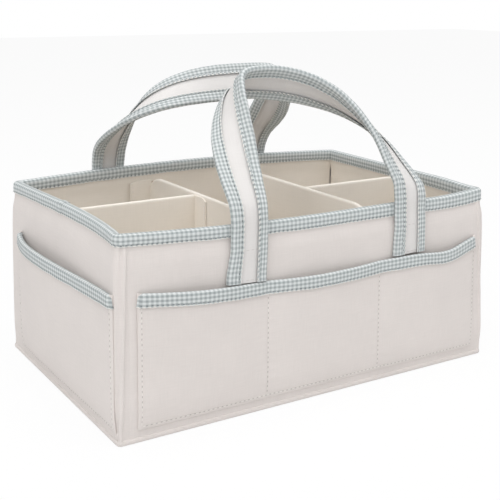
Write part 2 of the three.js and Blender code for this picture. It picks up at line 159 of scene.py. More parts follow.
# Pockets
POCKET_TAPE = 10.6 * MM
MOUTH_CHECK = 1.15
POCKET_TAPE_INSET = 0.3 * MM  # from a pocket's end to the tape's folded end
POCKET_TAPE_SLANT = 2 * MM  # how far an end's foot stands out past its top
POCKET_TAPE_END = 4 * MM  # reach of the folded end
POCKET_TAPE_FLAT = 0.75  # how much flatter the tape is there
POCKET_TAPE_DROP = 1.2 * MM  # and how much lower its top
MOUTH_ROLL = 0.5 * MM  # how much wider than its layers the tape is folded
MOUTH_EDGE_WAVE = (0.4 * MM, 15 * MM, 41)
MOUTH_PROBE = 0.005  # share of the mouth over which its direction is taken
POCKET_SEAT = CANVAS * 0.35  # how far out of the wall a pocket's sewn edge lies
POCKET_EDGE = 3 * MM  # reach of the edge that lies on the wall
POCKET_HEM = 2.7 * MM  # from a pocket's edge to its stitches
POCKET_LIFT = CANVAS * 0.75  # of the stitches, from the cloth's middle
HEM_PROUD = 0.6 * MM
HEM_RISE = 1.8 * MM
HEM_FALL = 1.4 * MM
HEM_DIP = (-0.45 * MM, POCKET_HEM, 0.9 * MM)  # height, middle and width of the dip at the stitches
PUCKER = 0.14 * MM
PUCKER_REACH = 9 * MM
PUCKER_PITCH = 1.35 * MM
PUCKER_WAVE = (2, 12 * MM, 51)
POCKET_WAVES = ((0.5 * MM, 40 * MM, 52), (0.18 * MM, 14 * MM, 53))
POCKET_FULLNESS = 0.6
POCKET_STRAIGHT = 0.885  # share of a pocket's height above which it stands straight
SLACK_WIDTH = 0.15
END_ARCH = 0.6  # of the pockets that fill an end wall: how soon they open
END_SLACK = 0.9  # and how much further at the back

# Handles
STRAP_WIDTH = 36 * MM
STRAP_TAPE = 10.4 * MM
STRAP_BARE = STRAP_WIDTH / 2 - STRAP_TAPE  # half the width of the bare canvas between the tapes
STRAP_HALF = 2.1 * MM  # half the thickness at the tapes' middle layer
STRAP_CHECK = 1.3
STRAP_TAPE_SINK = 0.7 * MM  # how far a tape's edges sink into the canvas
STRAP_TAPE_SINK_REACH = 3 * MM
STRAP_EDGE_WAVE = (0.25 * MM, 11 * MM, 71)
CORE_INSET = 1.2 * MM  # from the strap's edge to its core's
CORE_HALF = 1.3 * MM
CORE_CROWN = 0.45 * MM  # how far the bare canvas swells
CORE_CREASE = (0.16 * MM, 9 * MM, 61)
STRAP_SPAN = 165 * MM
STRAP_STEP = 2.2 * MM
STRAP_EVENING = 8  # passes that soften its bends
SEWN_OFFSET = 2.7 * MM  # from the wall to the middle of the sewn strap
RIM_OFFSET = 3.6 * MM  # the same over the rim tape
RIM_PLACE = HALF_DEPTH - LEAN + RIM_OFFSET  # from the middle of the caddy to the strap over the rim
UPPER_STITCH = RIM_FOOT - 13 * MM
CROSS_POINTS = 24
CROSS_INSET = (2 * MM, 0.5 * MM)  # of the rows at the foot, and of the upper ones from the tapes
CROSS_STEP = 0.5 * MM  # half the width of the step up onto the tapes
CROSS_LIFT = (1.8 * MM, STRAP_HALF + 0.5 * MM)  # on the canvas and on the tapes
FOOT_GAP = 1.4 * MM  # between a strap's foot and the pocket's mouth
FOOT_FLARE = 0.2  # how much a leg's left edge spreads at its foot
FOOT_FLARE_HEIGHT = 30 * MM
LEG_DRIFT = 2.5 * MM  # how far to the left a leg's foot stands
LEG_NARROW = 0.07  # how much narrower the sewn legs are than the free strap
LEG_NARROW_HEIGHT = 30 * MM
SHOULDER_CURL = (0.908, 0.123)  # middle and width, in shares of the strap's arch
SHOULDER_TUCK = (0.9, 0.055)
BLEND_REACH = 6 * MM  # above and below the hinge, where the strap bends

# Dividers
DIVIDERS = ("left_cross_divider", "right_cross_divider", "left_short_divider", "right_short_divider")
DIVIDER = 4 * MM
DIVIDER_BOARD = 2.2 * MM
CROSS_ROUND = 26 * MM  # of a cross divider's upper corners
SHORT_ROUND = 12 * MM
MEETING_ROUND = 3 * MM  # where a short divider meets a cross divider
SHORT_DROP = 1.5 * MM  # from a cross divider's top to a short one's
FLAP_WIDTH = 22 * MM
FLAP_THICKNESS = 1.2 * MM
FLAP_DROP = 4 * MM
MEETING_FLAP_DROP = 0.5 * MM
FLAP_INSET = FLAP_THICKNESS * 0.7  # from the divider's end to the flap's middle
FLAP_LIFT = 0.9 * MM  # how far a flap's free edge stands off
FLAP_LIFT_FROM = 0.75  # share of its width at which that starts
FLAP_CORNER = 2 * MM  # how far its upper free corner is cut down
FLAP_CORNER_FROM = (FLAP_WIDTH * 0.7, 0.9)  # place across it and share of its height at which that starts
FLAP_WAVE = (0.15 * MM, 20 * MM, 91)
FLAP_SEAM = 0.9  # share of its width at which it is stitched
FLAP_SEAM_ENDS = (0.02, 0.98)
FLAP_STITCH_LIFT = FLAP_THICKNESS * 0.6
SHORT_BOW_GAP = 0.6 * MM  # between a short divider and the bowed end wall
DIVIDER_WAVE = (0.3 * MM, 36 * MM, 81)
DIVIDER_PINCH = 0.6 * MM  # how much thinner a divider is at its ends
DIVIDER_PINCH_REACH = 5 * MM
DIVIDER_STILL = 15 * MM  # from its ends to where its waves are full
DIVIDER_FOLD = 0.8  # 1 for a round fold
FOLD_CROWDING = 1.9  # how much closer the cover's rows lie at the fold, 1 for even rows
DIVIDER_SEAMS = (0.46, 0.54)
DIVIDER_SEAM_ENDS = (0.03, 0.97)
DIVIDER_LIFT = LINING * 0.6  # of the stitches, from the cloth's middle
ROUND_DEPTH = 0.6  # of its upper corners, 1 for a quarter circle
STIFFENER_INSET = 4 * MM
STIFFENER_TOP = DIVIDER_TOP - 5 * MM

# How fine the pieces are: columns and rows of their grids, or the length of a column
FLOOR_GRID = (76, 50)
WELT_STEP, WELT_ROWS = 4 * MM, 18
PANEL_STEP, PANEL_ROWS = 2.8 * MM, 64
BOARD_GRID = (24, 12)
LINING_STEP, LINING_ROWS = 4 * MM, 48
SEAM_COLUMNS, SEAM_ROWS = 66, 50
RIM_STEP, RIM_ROWS = 2 * MM, 30
POCKET_STEP, POCKET_ROWS = 1.6 * MM, 72
MOUTH_STATIONS = 200
MOUTH_STEP, MOUTH_ROWS = 2 * MM, 24
SHOULDER_STEPS = 96
STRAP_ROWS, STRAP_TAPE_ROWS = 40, 24
COVER_STEP, COVER_ROWS = 2 * MM, 84
STIFFENER_GRID = (8, 8)
FLAP_GRID = (16, 40)

# Stage
FLOOR_SIZE = 12
FLOOR_GRAIN = 40.0
FLOOR_SHADES = (0.99, 1.01)
FLOOR_WHITE = 0.92  # share of plain white in what the camera sees of the floor
SURROUNDING_LIGHT = 0.5
LIGHT_AIM = Vector((0, 0, 0.12))
# Name, place, size and power of each lamp
LIGHTS = (
    ("key_light", (-2.0, -1.4, 2.2), 1.8, 27),
    ("fill_light", (1.3, -1.8, 1.9), 2.0, 6),
    ("top_light", (0.0, -0.2, 2.3), 2.2, 29),
)

# Camera, from the photograph's perspective
CAMERA_PLACE = Vector((-0.4482, -0.7254, 0.3374))
CAMERA_AZIMUTH = math.radians(-31.909)
CAMERA_ELEVATION = math.radians(15.514)
CAMERA_ROLL = math.radians(0.41)
CAMERA_LENS = 67.3

# Each wall: its turn from the front, half its length, its distance from the middle and the depth of
# the rim's tape at its two ends. Of its pocket: the count, the inset of both ends, how far it stands
# open, how far its mouth dips, the shift of its middle and how far its mouth hangs slack at a share of
# its half length. Bow and sag are how far its rim's middle bends in and hangs down, and droop is how
# far the rim hangs at a share of the wall's half length.
Side = namedtuple(
    "Side",
    "name turn half reach tape pockets inset belly dip shift slack slack_at bow sag droop droop_at",
    defaults=(0, 0, 0, 0, 0, 0, 0),
)
SIDES = (
    Side(
        "front", turn=0, half=HALF_LENGTH, reach=HALF_DEPTH, tape=(8.6 * MM, 11.6 * MM),
        pockets=3, inset=14.2 * MM, belly=5 * MM, dip=9 * MM,
        shift=1.7 * MM, slack=5 * MM, slack_at=0.78, sag=6 * MM, droop=3.3 * MM, droop_at=0.85,
    ),
    Side(
        "right", turn=QUARTER, half=HALF_DEPTH, reach=HALF_LENGTH, tape=(11.4 * MM, 10.4 * MM),
        pockets=1, inset=16 * MM, belly=6 * MM, dip=1.7 * MM,
        slack=-3 * MM, slack_at=1, bow=3 * MM, droop=2.57 * MM, droop_at=-1,
    ),
    Side(
        "back", turn=2 * QUARTER, half=HALF_LENGTH, reach=HALF_DEPTH, tape=(10.4 * MM, 10.4 * MM),
        pockets=3, inset=17 * MM, belly=5 * MM, dip=9 * MM,
        sag=-5 * MM,
    ),
    Side(
        "left", turn=-QUARTER, half=HALF_DEPTH, reach=HALF_LENGTH, tape=(9.2 * MM, 8.5 * MM),
        pockets=1, inset=16 * MM, belly=6 * MM, dip=2.2 * MM,
        shift=13 * MM, slack=-3 * MM, slack_at=-1, bow=6 * MM,
    ),
)
SIDE = {side.name: side for side in SIDES}

# How each handle falls: offset of its middle along the wall, reach from rim to crown, lean and the bend
# into it, offset of its crown, turn about its own length and the shares over which each half turns,
# roundness of both shoulders, and how far the second one curls over and is tucked in
Fall = namedtuple(
    "Fall",
    "offset reach lean bend crown turn first_turn second_turn first_round second_round curl tuck",
    defaults=(0, 0),
)
FALLS = {
    "front": Fall(
        offset=10.5 * MM,
        reach=127 * MM,
        lean=math.radians(42),
        bend=16 * MM,
        crown=-46 * MM,
        turn=math.radians(103),
        first_turn=(0.03, 0.49),
        second_turn=(0, 0.5),
        first_round=1.6,
        second_round=2.43,
        curl=math.radians(12),
        tuck=2 * MM,
    ),
    "back": Fall(
        offset=4.5 * MM,
        reach=121 * MM,
        lean=math.radians(48.5),
        bend=40 * MM,
        crown=-60 * MM,
        turn=math.radians(104),
        first_turn=(0, 0.435),
        second_turn=(0, 0.5),
        first_round=3,
        second_round=3.6,
    ),
}


def rgb(red, green, blue):
    """A colour given by its screen values, made linear."""
    return tuple(((value / 255 + 0.055) / 1.055) ** 2.4 for value in (red, green, blue))


def size_property(name, description, size):
    return FloatProperty(name=name, description=description, default=size, unit="LENGTH")


def colour_property(name, description, colour):
    return FloatVectorProperty(name=name, description=description, default=colour, subtype="COLOR")


class CaddySizes(bpy.types.PropertyGroup):
    """Sizes of the pattern and the sewing"""

    check: size_property("Check", "Side of one square of the gingham", 1.98 * MM)
    thread_pitch: size_property("Stitch pitch", "From one stitch to the next", 4.2 * MM)
    thread: size_property("Thread", "Thickness of the sewing thread", 0.6 * MM)
    weave: size_property("Weave", "From one yarn of the canvas to the next but one", 1.1 * MM)


class CaddyColours(bpy.types.PropertyGroup):
    """Colours of the cloth, the thread and the stage"""

    canvas: colour_property("Canvas", "Outside cloth", rgb(226, 219, 215))
    strap: colour_property("Strap", "Cloth of the handles", rgb(226, 223, 221))
    lining: colour_property("Lining", "Inside cloth and dividers", rgb(248, 241, 231))
    white: colour_property("Gingham white", "Undyed yarn of the binding tape", rgb(225, 229, 229))
    dye: colour_property("Gingham dye", "Dyed yarn of the binding tape", rgb(160, 168, 169))
    thread: colour_property("Thread", "Sewing thread", rgb(240, 237, 232))
    # Needle hole: painted shade, the colour of small dark marks for the shaded dimples between stitches
    hole: colour_property("Needle hole", "Shade in the holes between stitches", rgb(200, 194, 190))
    board: colour_property("Board", "Stiffening board inside the walls", rgb(196, 178, 150))
    floor: colour_property("Floor", "Floor under the caddy", rgb(242, 242, 242))


# Materials


class Wire:
    """A value on its way through a material's nodes. Arithmetic on it adds Math nodes."""

    def __init__(self, finish, socket):
        self.finish = finish
        self.socket = socket

    def __add__(self, other):
        return self.finish.math("ADD", self, other)

    def __sub__(self, other):
        return self.finish.math("SUBTRACT", self, other)

    def __rsub__(self, other):
        return self.finish.math("SUBTRACT", other, self)

    def __mul__(self, other):
        return self.finish.math("MULTIPLY", self, other)

    def __abs__(self):
        return self.finish.math("ABSOLUTE", self)

    def sine(self):
        return self.finish.math("SINE", self)

    def fraction(self):
        return self.finish.math("FRACT", self)

    def clamped(self):
        return self.finish.math("ADD", self, 0, use_clamp=True)

    __radd__ = __add__
    __rmul__ = __mul__


class Finish:
    """A material under construction, with the nodes that feed its shader."""

    def __init__(self, name, roughness):
        self.material = bpy.data.materials.new(name)
        self.material.use_nodes = True
        self.tree = self.material.node_tree
        self.shader = self.tree.nodes["Principled BSDF"]
        self.set("Roughness", roughness)

    def node(self, kind, settings, inputs):
        """Adds a node: its settings first, then the values or wires of its sockets."""
        node = self.tree.nodes.new(kind)
        for key, value in settings.items():
            setattr(node, key, value)
        for key, value in inputs.items():
            self.feed(node.inputs[key], value)
        return node

    def feed(self, socket, value):
        if isinstance(value, Wire):
            self.tree.links.new(value.socket, socket)
        else:
            socket.default_value = value

    def set(self, socket, value):
        self.feed(self.shader.inputs[socket], value)

    def math(self, operation, first, second=0.0, use_clamp=False):
        settings = {"operation": operation, "use_clamp": use_clamp}
        node = self.node("ShaderNodeMath", settings, {0: first, 1: second})
        return Wire(self, node.outputs[0])

    def mix(self, factor, first, second):
        """A colour between two others."""
        node = self.node("ShaderNodeMix", {"data_type": "RGBA"}, {0: factor, 6: first, 7: second})
        return Wire(self, node.outputs[2])

    def coordinates(self, source):
        """The X, Y and Z wires of a kind of texture coordinates."""
        node = self.node("ShaderNodeTexCoord", {}, {})
        split = self.node("ShaderNodeSeparateXYZ", {}, {0: Wire(self, node.outputs[source])})
        return [Wire(self, output) for output in split.outputs]

    def vector(self, x, y, z):
        node = self.node("ShaderNodeCombineXYZ", {}, {0: x, 1: y, 2: z})
        return Wire(self, node.outputs[0])

    def noise(self, place, scale, detail=2.0):
        """A soft random value between 0 and 1."""
        inputs = {"Vector": place, "Scale": scale, "Detail": detail}
        node = self.node("ShaderNodeTexNoise", {}, inputs)
        return Wire(self, node.outputs[0])

    def bump(self, height, distance, strength):
        inputs = {"Height": height, "Distance": distance, "Strength": strength}
        node = self.node("ShaderNodeBump", {}, inputs)
        self.set("Normal", Wire(self, node.outputs[0]))


def opaque(colour):
    return (*colour, 1.0)


def shaded(colour, share):
    """A colour made lighter or darker all over."""
    return opaque([min(1.0, value * share) for value in colour])


def plain_weave(along, across, pitch):
    """Height of plain-woven yarns, from -1 to 1."""
    turns = math.tau / pitch
    return (along * turns).sine() * (across * turns).sine()


# Woven cloth
CANVAS_LOOK = (0.92, 0.5)  # roughness and contrast
LINING_LOOK = (0.88, 0.4)
LINING_WEAVE = 0.8  # how much finer the lining is woven
SLUB_SCALES = (900, 60)  # of its thick yarns: across them and along them
DRIFT_SCALE = 22.0
WEAVE_SHADE = 0.35
CLOTH_SHADES = (0.92, 1.06)
CLOTH_SHEEN = {"Sheen Weight": 0.12, "Sheen Roughness": 0.6}
CLOTH_BUMP = (0.12 * MM, 0.5)


def woven_finish(name, colour, pitch, roughness, contrast):
    """Plain cloth: woven yarns, slubs along both directions and a slow drift of its colour."""
    finish = Finish(name, roughness)
    along, across, _ = finish.coordinates("UV")
    weave = plain_weave(along, across, pitch)
    fine, coarse = SLUB_SCALES
    warp_slubs = finish.noise(finish.vector(along * fine, across * coarse, 0), 1.0)
    weft_slubs = finish.noise(finish.vector(along * coarse, across * fine, 7), 1.0)
    drift = finish.noise(finish.vector(along, across, 3), DRIFT_SCALE)
    tone = (warp_slubs + weft_slubs + drift - 1.5) * contrast + 0.5 + weave * (WEAVE_SHADE * contrast)
    dark, light = (shaded(colour, shade) for shade in CLOTH_SHADES)
    finish.set("Base Color", finish.mix(tone.clamped(), dark, light))
    for socket, value in CLOTH_SHEEN.items():
        finish.set(socket, value)
    finish.bump(weave * 0.5 + warp_slubs + weft_slubs, *CLOTH_BUMP)
    return finish.material


# Gingham
WARP_SHARE, WEFT_SHARE = 0.43, 0.57  # how far the dyed yarns of each direction show
BAND_EDGE = 8  # how sharp the edges of the squares are
LEAST_DYE, MORE_DYE = 0.86, 0.28
FADING_SCALE = 160.0
YARN_SHADE = 0.05
GINGHAM_SHEEN = 0.08
GINGHAM_BUMP = (0.1 * MM, 0.6)


def gingham_finish(sizes, colours):
    """Binding tape: dyed and white yarns in even bands both ways."""
    finish = Finish("gingham", 0.9)
    along, across, _ = finish.coordinates("UV")

    def dyed_band(place):
        cycle = (place * (0.5 / sizes.check)).fraction()
        return ((0.25 - abs(cycle - 0.5)) * BAND_EDGE + 0.5).clamped()

    weave = plain_weave(along, across, sizes.check / 3)
    dyed = dyed_band(along) * WARP_SHARE + dyed_band(across) * WEFT_SHARE
    fading = finish.noise(finish.vector(along, across, 0), FADING_SCALE)
    dyed = (dyed * (LEAST_DYE + MORE_DYE * fading) + weave * YARN_SHADE).clamped()
    finish.set("Base Color", finish.mix(dyed, opaque(colours.white), opaque(colours.dye)))
    finish.set("Sheen Weight", GINGHAM_SHEEN)
    finish.bump(weave, *GINGHAM_BUMP)
    return finish.material


# Fibres: scale, darkest and lightest shade, depth and strength of the bump, detail
THREAD_FIBRES = (2600.0, (0.88, 1.08), (0.1 * MM, 0.4), 2.0)
BOARD_FIBRES = (700.0, (0.8, 1.12), (0.2 * MM, 0.3), 6.0)
THREAD_ROUGHNESS = 0.7
HOLE_ROUGHNESS = 0.95
BOARD_ROUGHNESS = 0.85
TAPE_HOLE_SHADE = 0.55  # painted shade: the gingham's dye darkened for the shaded gaps at a tape's edge


def fibre_finish(name, colour, roughness, scale, shades, bump, detail):
    """Thread or pressed board: fibres that vary its colour and roughen it."""
    finish = Finish(name, roughness)
    x, y, z = finish.coordinates("Object")
    fibres = finish.noise(finish.vector(x, y, z), scale, detail)
    dark, light = (shaded(colour, shade) for shade in shades)
    finish.set("Base Color", finish.mix(fibres, dark, light))
    finish.bump(fibres, *bump)
    return finish.material


def floor_finish(colour):
    """A pale floor that is near white to the camera and keeps the shadow under the caddy."""
    finish = Finish("pale_floor", 0.9)
    x, y, _ = finish.coordinates("Object")
    grain = finish.noise(finish.vector(x, y, 0), FLOOR_GRAIN)
    dark, light = (shaded(colour, shade) for shade in FLOOR_SHADES)
    finish.set("Base Color", finish.mix(grain, dark, light))
    white = finish.node("ShaderNodeEmission", {}, {"Color": (1, 1, 1, 1), "Strength": 1.0})
    rays = finish.node("ShaderNodeLightPath", {}, {})
    kinds = ("Is Camera Ray", "Is Glossy Ray", "Is Transmission Ray")
    camera, glossy, clear = (Wire(finish, rays.outputs[kind]) for kind in kinds)
    seen = (camera + glossy + clear).clamped() * FLOOR_WHITE
    inputs = {0: seen, 1: Wire(finish, finish.shader.outputs[0]), 2: Wire(finish, white.outputs[0])}
    mixed = finish.node("ShaderNodeMixShader", {}, inputs)
    output = finish.tree.nodes["Material Output"]
    finish.tree.links.new(mixed.outputs[0], output.inputs["Surface"])
    return finish.material


# The finish of each of the record's material slots
SLOT_FINISH = {
    "canvas": "plain_canvas",
    "strap": "strap_canvas",
    "lining": "inside_cloth",
    "checked": "gingham",
    "board": "grey_board",
}


def finish_of(context, name):
    """The material of that name, made when it is first asked for."""
    made = bpy.data.materials.get(name)
    if made:
        return made
    colours, sizes = context.scene.caddy_colours, context.scene.caddy_sizes
    fine_weave = sizes.weave * LINING_WEAVE
    # Painted shade: the gingham's dye darkened, for the shaded gaps beside a tape's stitches
    tape_hole = shaded(colours.dye, TAPE_HOLE_SHADE)[:3]
    makers = {
        "plain_canvas": lambda: woven_finish(name, colours.canvas, sizes.weave, *CANVAS_LOOK),
        "strap_canvas": lambda: woven_finish(name, colours.strap, sizes.weave, *CANVAS_LOOK),
        "inside_cloth": lambda: woven_finish(name, colours.lining, fine_weave, *LINING_LOOK),
        "gingham": lambda: gingham_finish(sizes, colours),
        "thread": lambda: fibre_finish(name, colours.thread, THREAD_ROUGHNESS, *THREAD_FIBRES),
        "needle_hole": lambda: fibre_finish(name, colours.hole, HOLE_ROUGHNESS, *THREAD_FIBRES),
        "tape_hole": lambda: fibre_finish(name, tape_hole, HOLE_ROUGHNESS, *THREAD_FIBRES),
        "grey_board": lambda: fibre_finish(name, colours.board, BOARD_ROUGHNESS, *BOARD_FIBRES),
        "pale_floor": lambda: floor_finish(colours.floor),
    }
    return makers[name]()


# Modelling helpers


def clear_selection():
    bpy.ops.object.select_all(action="DESELECT")


def even(share):
    return share


def cloth_grid(name, columns, rows, place, size, spread=even):
    """A grid of cloth.

    place(u, v) gives its points, size the length and width of its pattern, and spread its rows.
    """
    clear_selection()
    bpy.ops.mesh.primitive_grid_add(x_subdivisions=columns, y_subdivisions=rows, size=2)
    piece = bpy.context.object
    piece.name = piece.data.name = name
    for vertex in piece.data.vertices:
        vertex.co = place((vertex.co.x + 1) / 2, spread((vertex.co.y + 1) / 2))
    for corner in piece.data.uv_layers.active.data:
        corner.uv = (corner.uv.x * size[0], spread(corner.uv.y) * size[1])
    return piece


def close_edges(piece, *operations):
    """Runs mesh operators on the whole of a piece and turns its faces outwards."""
    clear_selection()
    piece.select_set(True)
    bpy.context.view_layer.objects.active = piece
    bpy.ops.object.mode_set(mode="EDIT")
    bpy.ops.mesh.select_all(action="SELECT")
    for operation, settings in operations:
        operation(**settings)
        bpy.ops.mesh.select_all(action="SELECT")
    bpy.ops.mesh.normals_make_consistent(inside=False)
    bpy.ops.object.mode_set(mode="OBJECT")
    bpy.ops.object.shade_smooth_by_angle(angle=math.radians(55))


def thicken(piece, thickness):
    """Gives a sheet its thickness, half to each side."""
    clear_selection()
    piece.select_set(True)
    bpy.context.view_layer.objects.active = piece
    modifier = piece.modifiers.new("Thickness", "SOLIDIFY")
    modifier.thickness = thickness
    modifier.offset = 0
    bpy.ops.object.modifier_apply(modifier=modifier.name)
    close_edges(piece)


def dress(context, piece, slot, nodes, body=None):
    """Gives a piece its finish, the nodes that it stands for and the body that it rides on."""
    piece.data.materials.clear()
    piece.data.materials.append(finish_of(context, SLOT_FINISH[slot]))
    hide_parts(*nodes)
    if body:
        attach(piece, body)


def sheet_piece(context, name, grid, place, size, thickness, slot, nodes, body=None, spread=even):
    """A layer of cloth or board: a grid of points with its thickness, its finish and its body."""
    piece = cloth_grid(name, *grid, place, size, spread)
    thicken(piece, thickness)
    dress(context, piece, slot, nodes, body)
    return piece


def turned(place, turn):
    return Matrix.Rotation(turn, 3, "Z") @ place


def smooth(value, low=0.0, high=1.0):
    """0 below low, 1 above high, and a soft step between."""
    share = min(1.0, max(0.0, (value - low) / (high - low)))
    return share * share * (3 - 2 * share)


def hump(distance, width):
    """1 at no distance, falling off over width."""
    return math.exp(-((distance / width) ** 2))


def ripple(place, wavelength, seed):
    """A smooth random height between about -1 and 1."""
    return noise.noise(place / wavelength + Vector((seed, seed * 0.7, seed * 1.3)))


def waves(place, *layers):
    """Unevenness of cloth, from layers that each have a height, a wavelength and a seed."""
    return sum(height * ripple(place, wavelength, seed) for height, wavelength, seed in layers)


def ridge(place, height, middle, width):
    """A soft ridge, or a groove where its height is below zero."""
    return height * hump(place - middle, width)


def lerp(low, high, share):
    return low + (high - low) * share


def run_lengths(points):
    """How far along a line each of its points is."""
    lengths = [0.0]
    for a, b in zip(points, points[1:]):
        lengths.append(lengths[-1] + (b - a).length)
    return lengths


def run_length(points):
    return run_lengths(points)[-1]


def walk(lengths, runs):
    """For each run along a line: the step that it falls in and the share of that step."""
    low = 0
    for run in runs:
        while low < len(lengths) - 2 and lengths[low + 1] < run:
            low += 1
        yield low, (run - lengths[low]) / (lengths[low + 1] - lengths[low])


def at_share(stations, share):
    """The vectors of a station at a share of a list of stations."""
    place = min(1.0, max(0.0, share)) * (len(stations) - 1)
    low = min(int(place), len(stations) - 2)
    return [a.lerp(b, place - low) for a, b in zip(stations[low], stations[low + 1])]


def folded(share, depth, half, square=1.0):
    """A tape folded over an edge: how far across it, above it and from the tape's own edge.

    The fold is round, or squarer where square is less than 1.
    """
    straight = depth - half
    length = folded_width(depth, half)
    run = share * length
    inset = min(run, length - run)
    if run < straight:
        return half, run - depth, inset
    if run > length - straight:
        return -half, length - run - depth, inset
    angle = (run - straight) / half
    across = math.copysign(abs(math.cos(angle)) ** square, math.cos(angle))
    return half * across, half * (max(0.0, math.sin(angle)) ** square - 1), inset


def folded_width(depth, half):
    return 2 * (depth - half) + math.pi * half


# Sewing

TAPE_STITCH = 0.35 * MM  # from a tape's edge to its stitches
TAPE_SHADE_INSET = 1.6 * MM  # from a tape's edge to the marks of painted shade beside them
TAPE_DIP = (-0.22 * MM, 0.8 * MM, 0.7 * MM)  # height, middle and width of the dip at the stitches
TAPE_PUFF = 0.35 * MM
TAPE_PUFF_REACH = 4 * MM
TAPE_LIFT = TAPE * 0.65  # of the stitches, from the tape's middle
ROW_STEP = 1.5 * MM  # between the points of a row
ROW_PROBE = 0.0015  # share of a piece over which its slope is taken
STITCH_FLATNESS = 0.5

# A stitch or a painted shade mark between two: its finish, share of the pitch, slant and width against
# the thread's
STITCH_FINISHES = ("thread", "needle_hole", "tape_hole")
THREAD, PAINTED_HOLE_SHADE, PAINTED_TAPE_SHADE = range(len(STITCH_FINISHES))
Stitch = namedtuple("Stitch", "finish cover slant weight")
HEM_THREAD = Stitch(THREAD, 0.58, 0.0, 1.1)
# Painted shade: a dark speck for the shaded dimple at each needle hole
HEM_HOLE_SHADE = Stitch(PAINTED_HOLE_SHADE, 0.42, 0.0, 1.5)
TAPE_THREAD = Stitch(THREAD, 0.74, math.radians(10), 1.5)
# Painted shade on a tape: darkened dye where its edge and the gaps between stitches are shaded
TAPE_HOLE_SHADE_MARK = Stitch(PAINTED_TAPE_SHADE, 0.46, 0.0, 1.3)
# Painted shade: a dotted line of shaded needle holes across a strap, with no thread
CROSS_SHADE_LINE = Stitch(PAINTED_HOLE_SHADE, 0.8, 0.0, 0.6)
Row = namedtuple("Row", "points stitch")


def tape_swell(inset):
    """How far a tape stands off: it puffs up and is drawn down along its stitches."""
    return TAPE_PUFF * smooth(inset, 0, TAPE_PUFF_REACH) + ridge(inset, *TAPE_DIP)


def seam_rows(place, path, length, lift, stitches=(HEM_THREAD, HEM_HOLE_SHADE)):
    """Rows of stitches on a piece: path(t) gives the u and v of t from 0 to 1."""
    steps = max(4, int(length / ROW_STEP))
    points = []
    for i in range(steps + 1):
        u, v = path(i / steps)
        along = place(min(1, u + ROW_PROBE), v) - place(max(0, u - ROW_PROBE), v)
        across = place(u, min(1, v + ROW_PROBE)) - place(u, max(0, v - ROW_PROBE))
        normal = along.cross(across).normalized()
        points.append((place(u, v) + normal * lift, normal))
    return [Row(points, stitch) for stitch in stitches]


def tape_rows(place, length, width, both_edges):
    """Stitches along a folded tape's edges, with marks of painted shade beside them."""
    rows = []
    for stitch, inset in ((TAPE_THREAD, TAPE_STITCH), (TAPE_HOLE_SHADE_MARK, TAPE_SHADE_INSET)):
        for v in (inset / width, 1 - inset / width)[: 2 if both_edges else 1]:
            rows += seam_rows(place, lambda t, v=v: (t, v), length, TAPE_LIFT, (stitch,))
    return rows


def stitch_places(line, pitch):
    """The place, direction, normal and step of every stitch along a line."""
    lengths = run_lengths([place for place, _ in line])
    count = max(1, round(lengths[-1] / pitch))
    step = lengths[-1] / count
    for low, share in walk(lengths, [(i + 0.5) * step for i in range(count)]):
        (a, a_normal), (b, b_normal) = line[low], line[low + 1]
        normal = a_normal.lerp(b_normal, share).normalized()
        yield a.lerp(b, share), (b - a).normalized(), normal, step


def stitch_form():
    """Points and faces of one stitch, long along Z."""
    clear_selection()
    bpy.ops.mesh.primitive_uv_sphere_add(segments=6, ring_count=4, radius=1)
    stitch = bpy.context.object
    points = [vertex.co.copy() for vertex in stitch.data.vertices]
    faces = [tuple(face.vertices) for face in stitch.data.polygons]
    bpy.data.objects.remove(stitch)
    return points, faces


def sew(context, name, rows):
    """One piece of thread that holds every stitch of the rows, with marks of painted shade for the needle
    holes between.
    """
    sizes = context.scene.caddy_sizes
    form_points, form_faces = stitch_form()
    points, faces, finishes = [], [], []
    for line, stitch in rows:
        half = sizes.thread / 2 * stitch.weight
        for place, along, normal, step in stitch_places(line, sizes.thread_pitch):
            turn = Matrix((along.cross(normal), normal, along)).transposed()
            turn @= Matrix.Rotation(stitch.slant, 3, "Y")
            scale = Vector((half, half * STITCH_FLATNESS, step * stitch.cover / 2))
            # The painted shade marks lie between the stitches, at the needle holes
            middle = place if stitch.finish == THREAD else place + along * step / 2
            start = len(points)
            points += [middle + turn @ (point * scale) for point in form_points]
            faces += [tuple(start + i for i in face) for face in form_faces]
            finishes += [stitch.finish] * len(form_faces)
    mesh = bpy.data.meshes.new(name)
    mesh.from_pydata(points, [], faces)
    for finish in STITCH_FINISHES:
        mesh.materials.append(finish_of(context, finish))
    mesh.polygons.foreach_set("material_index", finishes)
    mesh.polygons.foreach_set("use_smooth", [True] * len(finishes))
    piece = bpy.data.objects.new(name, mesh)
    context.scene.collection.objects.link(piece)
    close_edges(piece)
    return piece


# Places on the body


def bowed(side, share, rise):
    """How far in a wall bends at a share of its half length, more towards the caddy's front."""
    forward = 1 + BOW_FORWARD * share * math.copysign(1, -side.turn)
    return side.bow * max(0.0, 1 - share**2) * forward * rise**2


def settled(side, share, z):
    """The height of a wall's point, as its rim hangs between the corners."""
    drop = side.sag * max(0.0, 1 - share**2) + ridge(share, side.droop, side.droop_at, DROOP_WIDTH)
    return z - drop * smooth(z, POCKET_TOP, RIM_FOOT)


def fullness(z):
    """How far a wall swells out between the base and the rim."""
    return WALL_FULL * smooth(z, *FULL_FOOT) * smooth(RIM_FOOT - z, 0, FULL_TOP)


def wall_point(side, along, out, z):
    """A point of a wall: along it from its middle, out of its outer face, above the floor."""
    rise = z / HEIGHT
    half = side.half - LEAN * rise
    reach = side.reach - LEAN * rise
    along *= half / side.half
    share = along / (half - CORNER_ROUND)
    y = bowed(side, share, rise) - reach - out - fullness(z)
    return turned(Vector((along, y, settled(side, share, z))), side.turn)


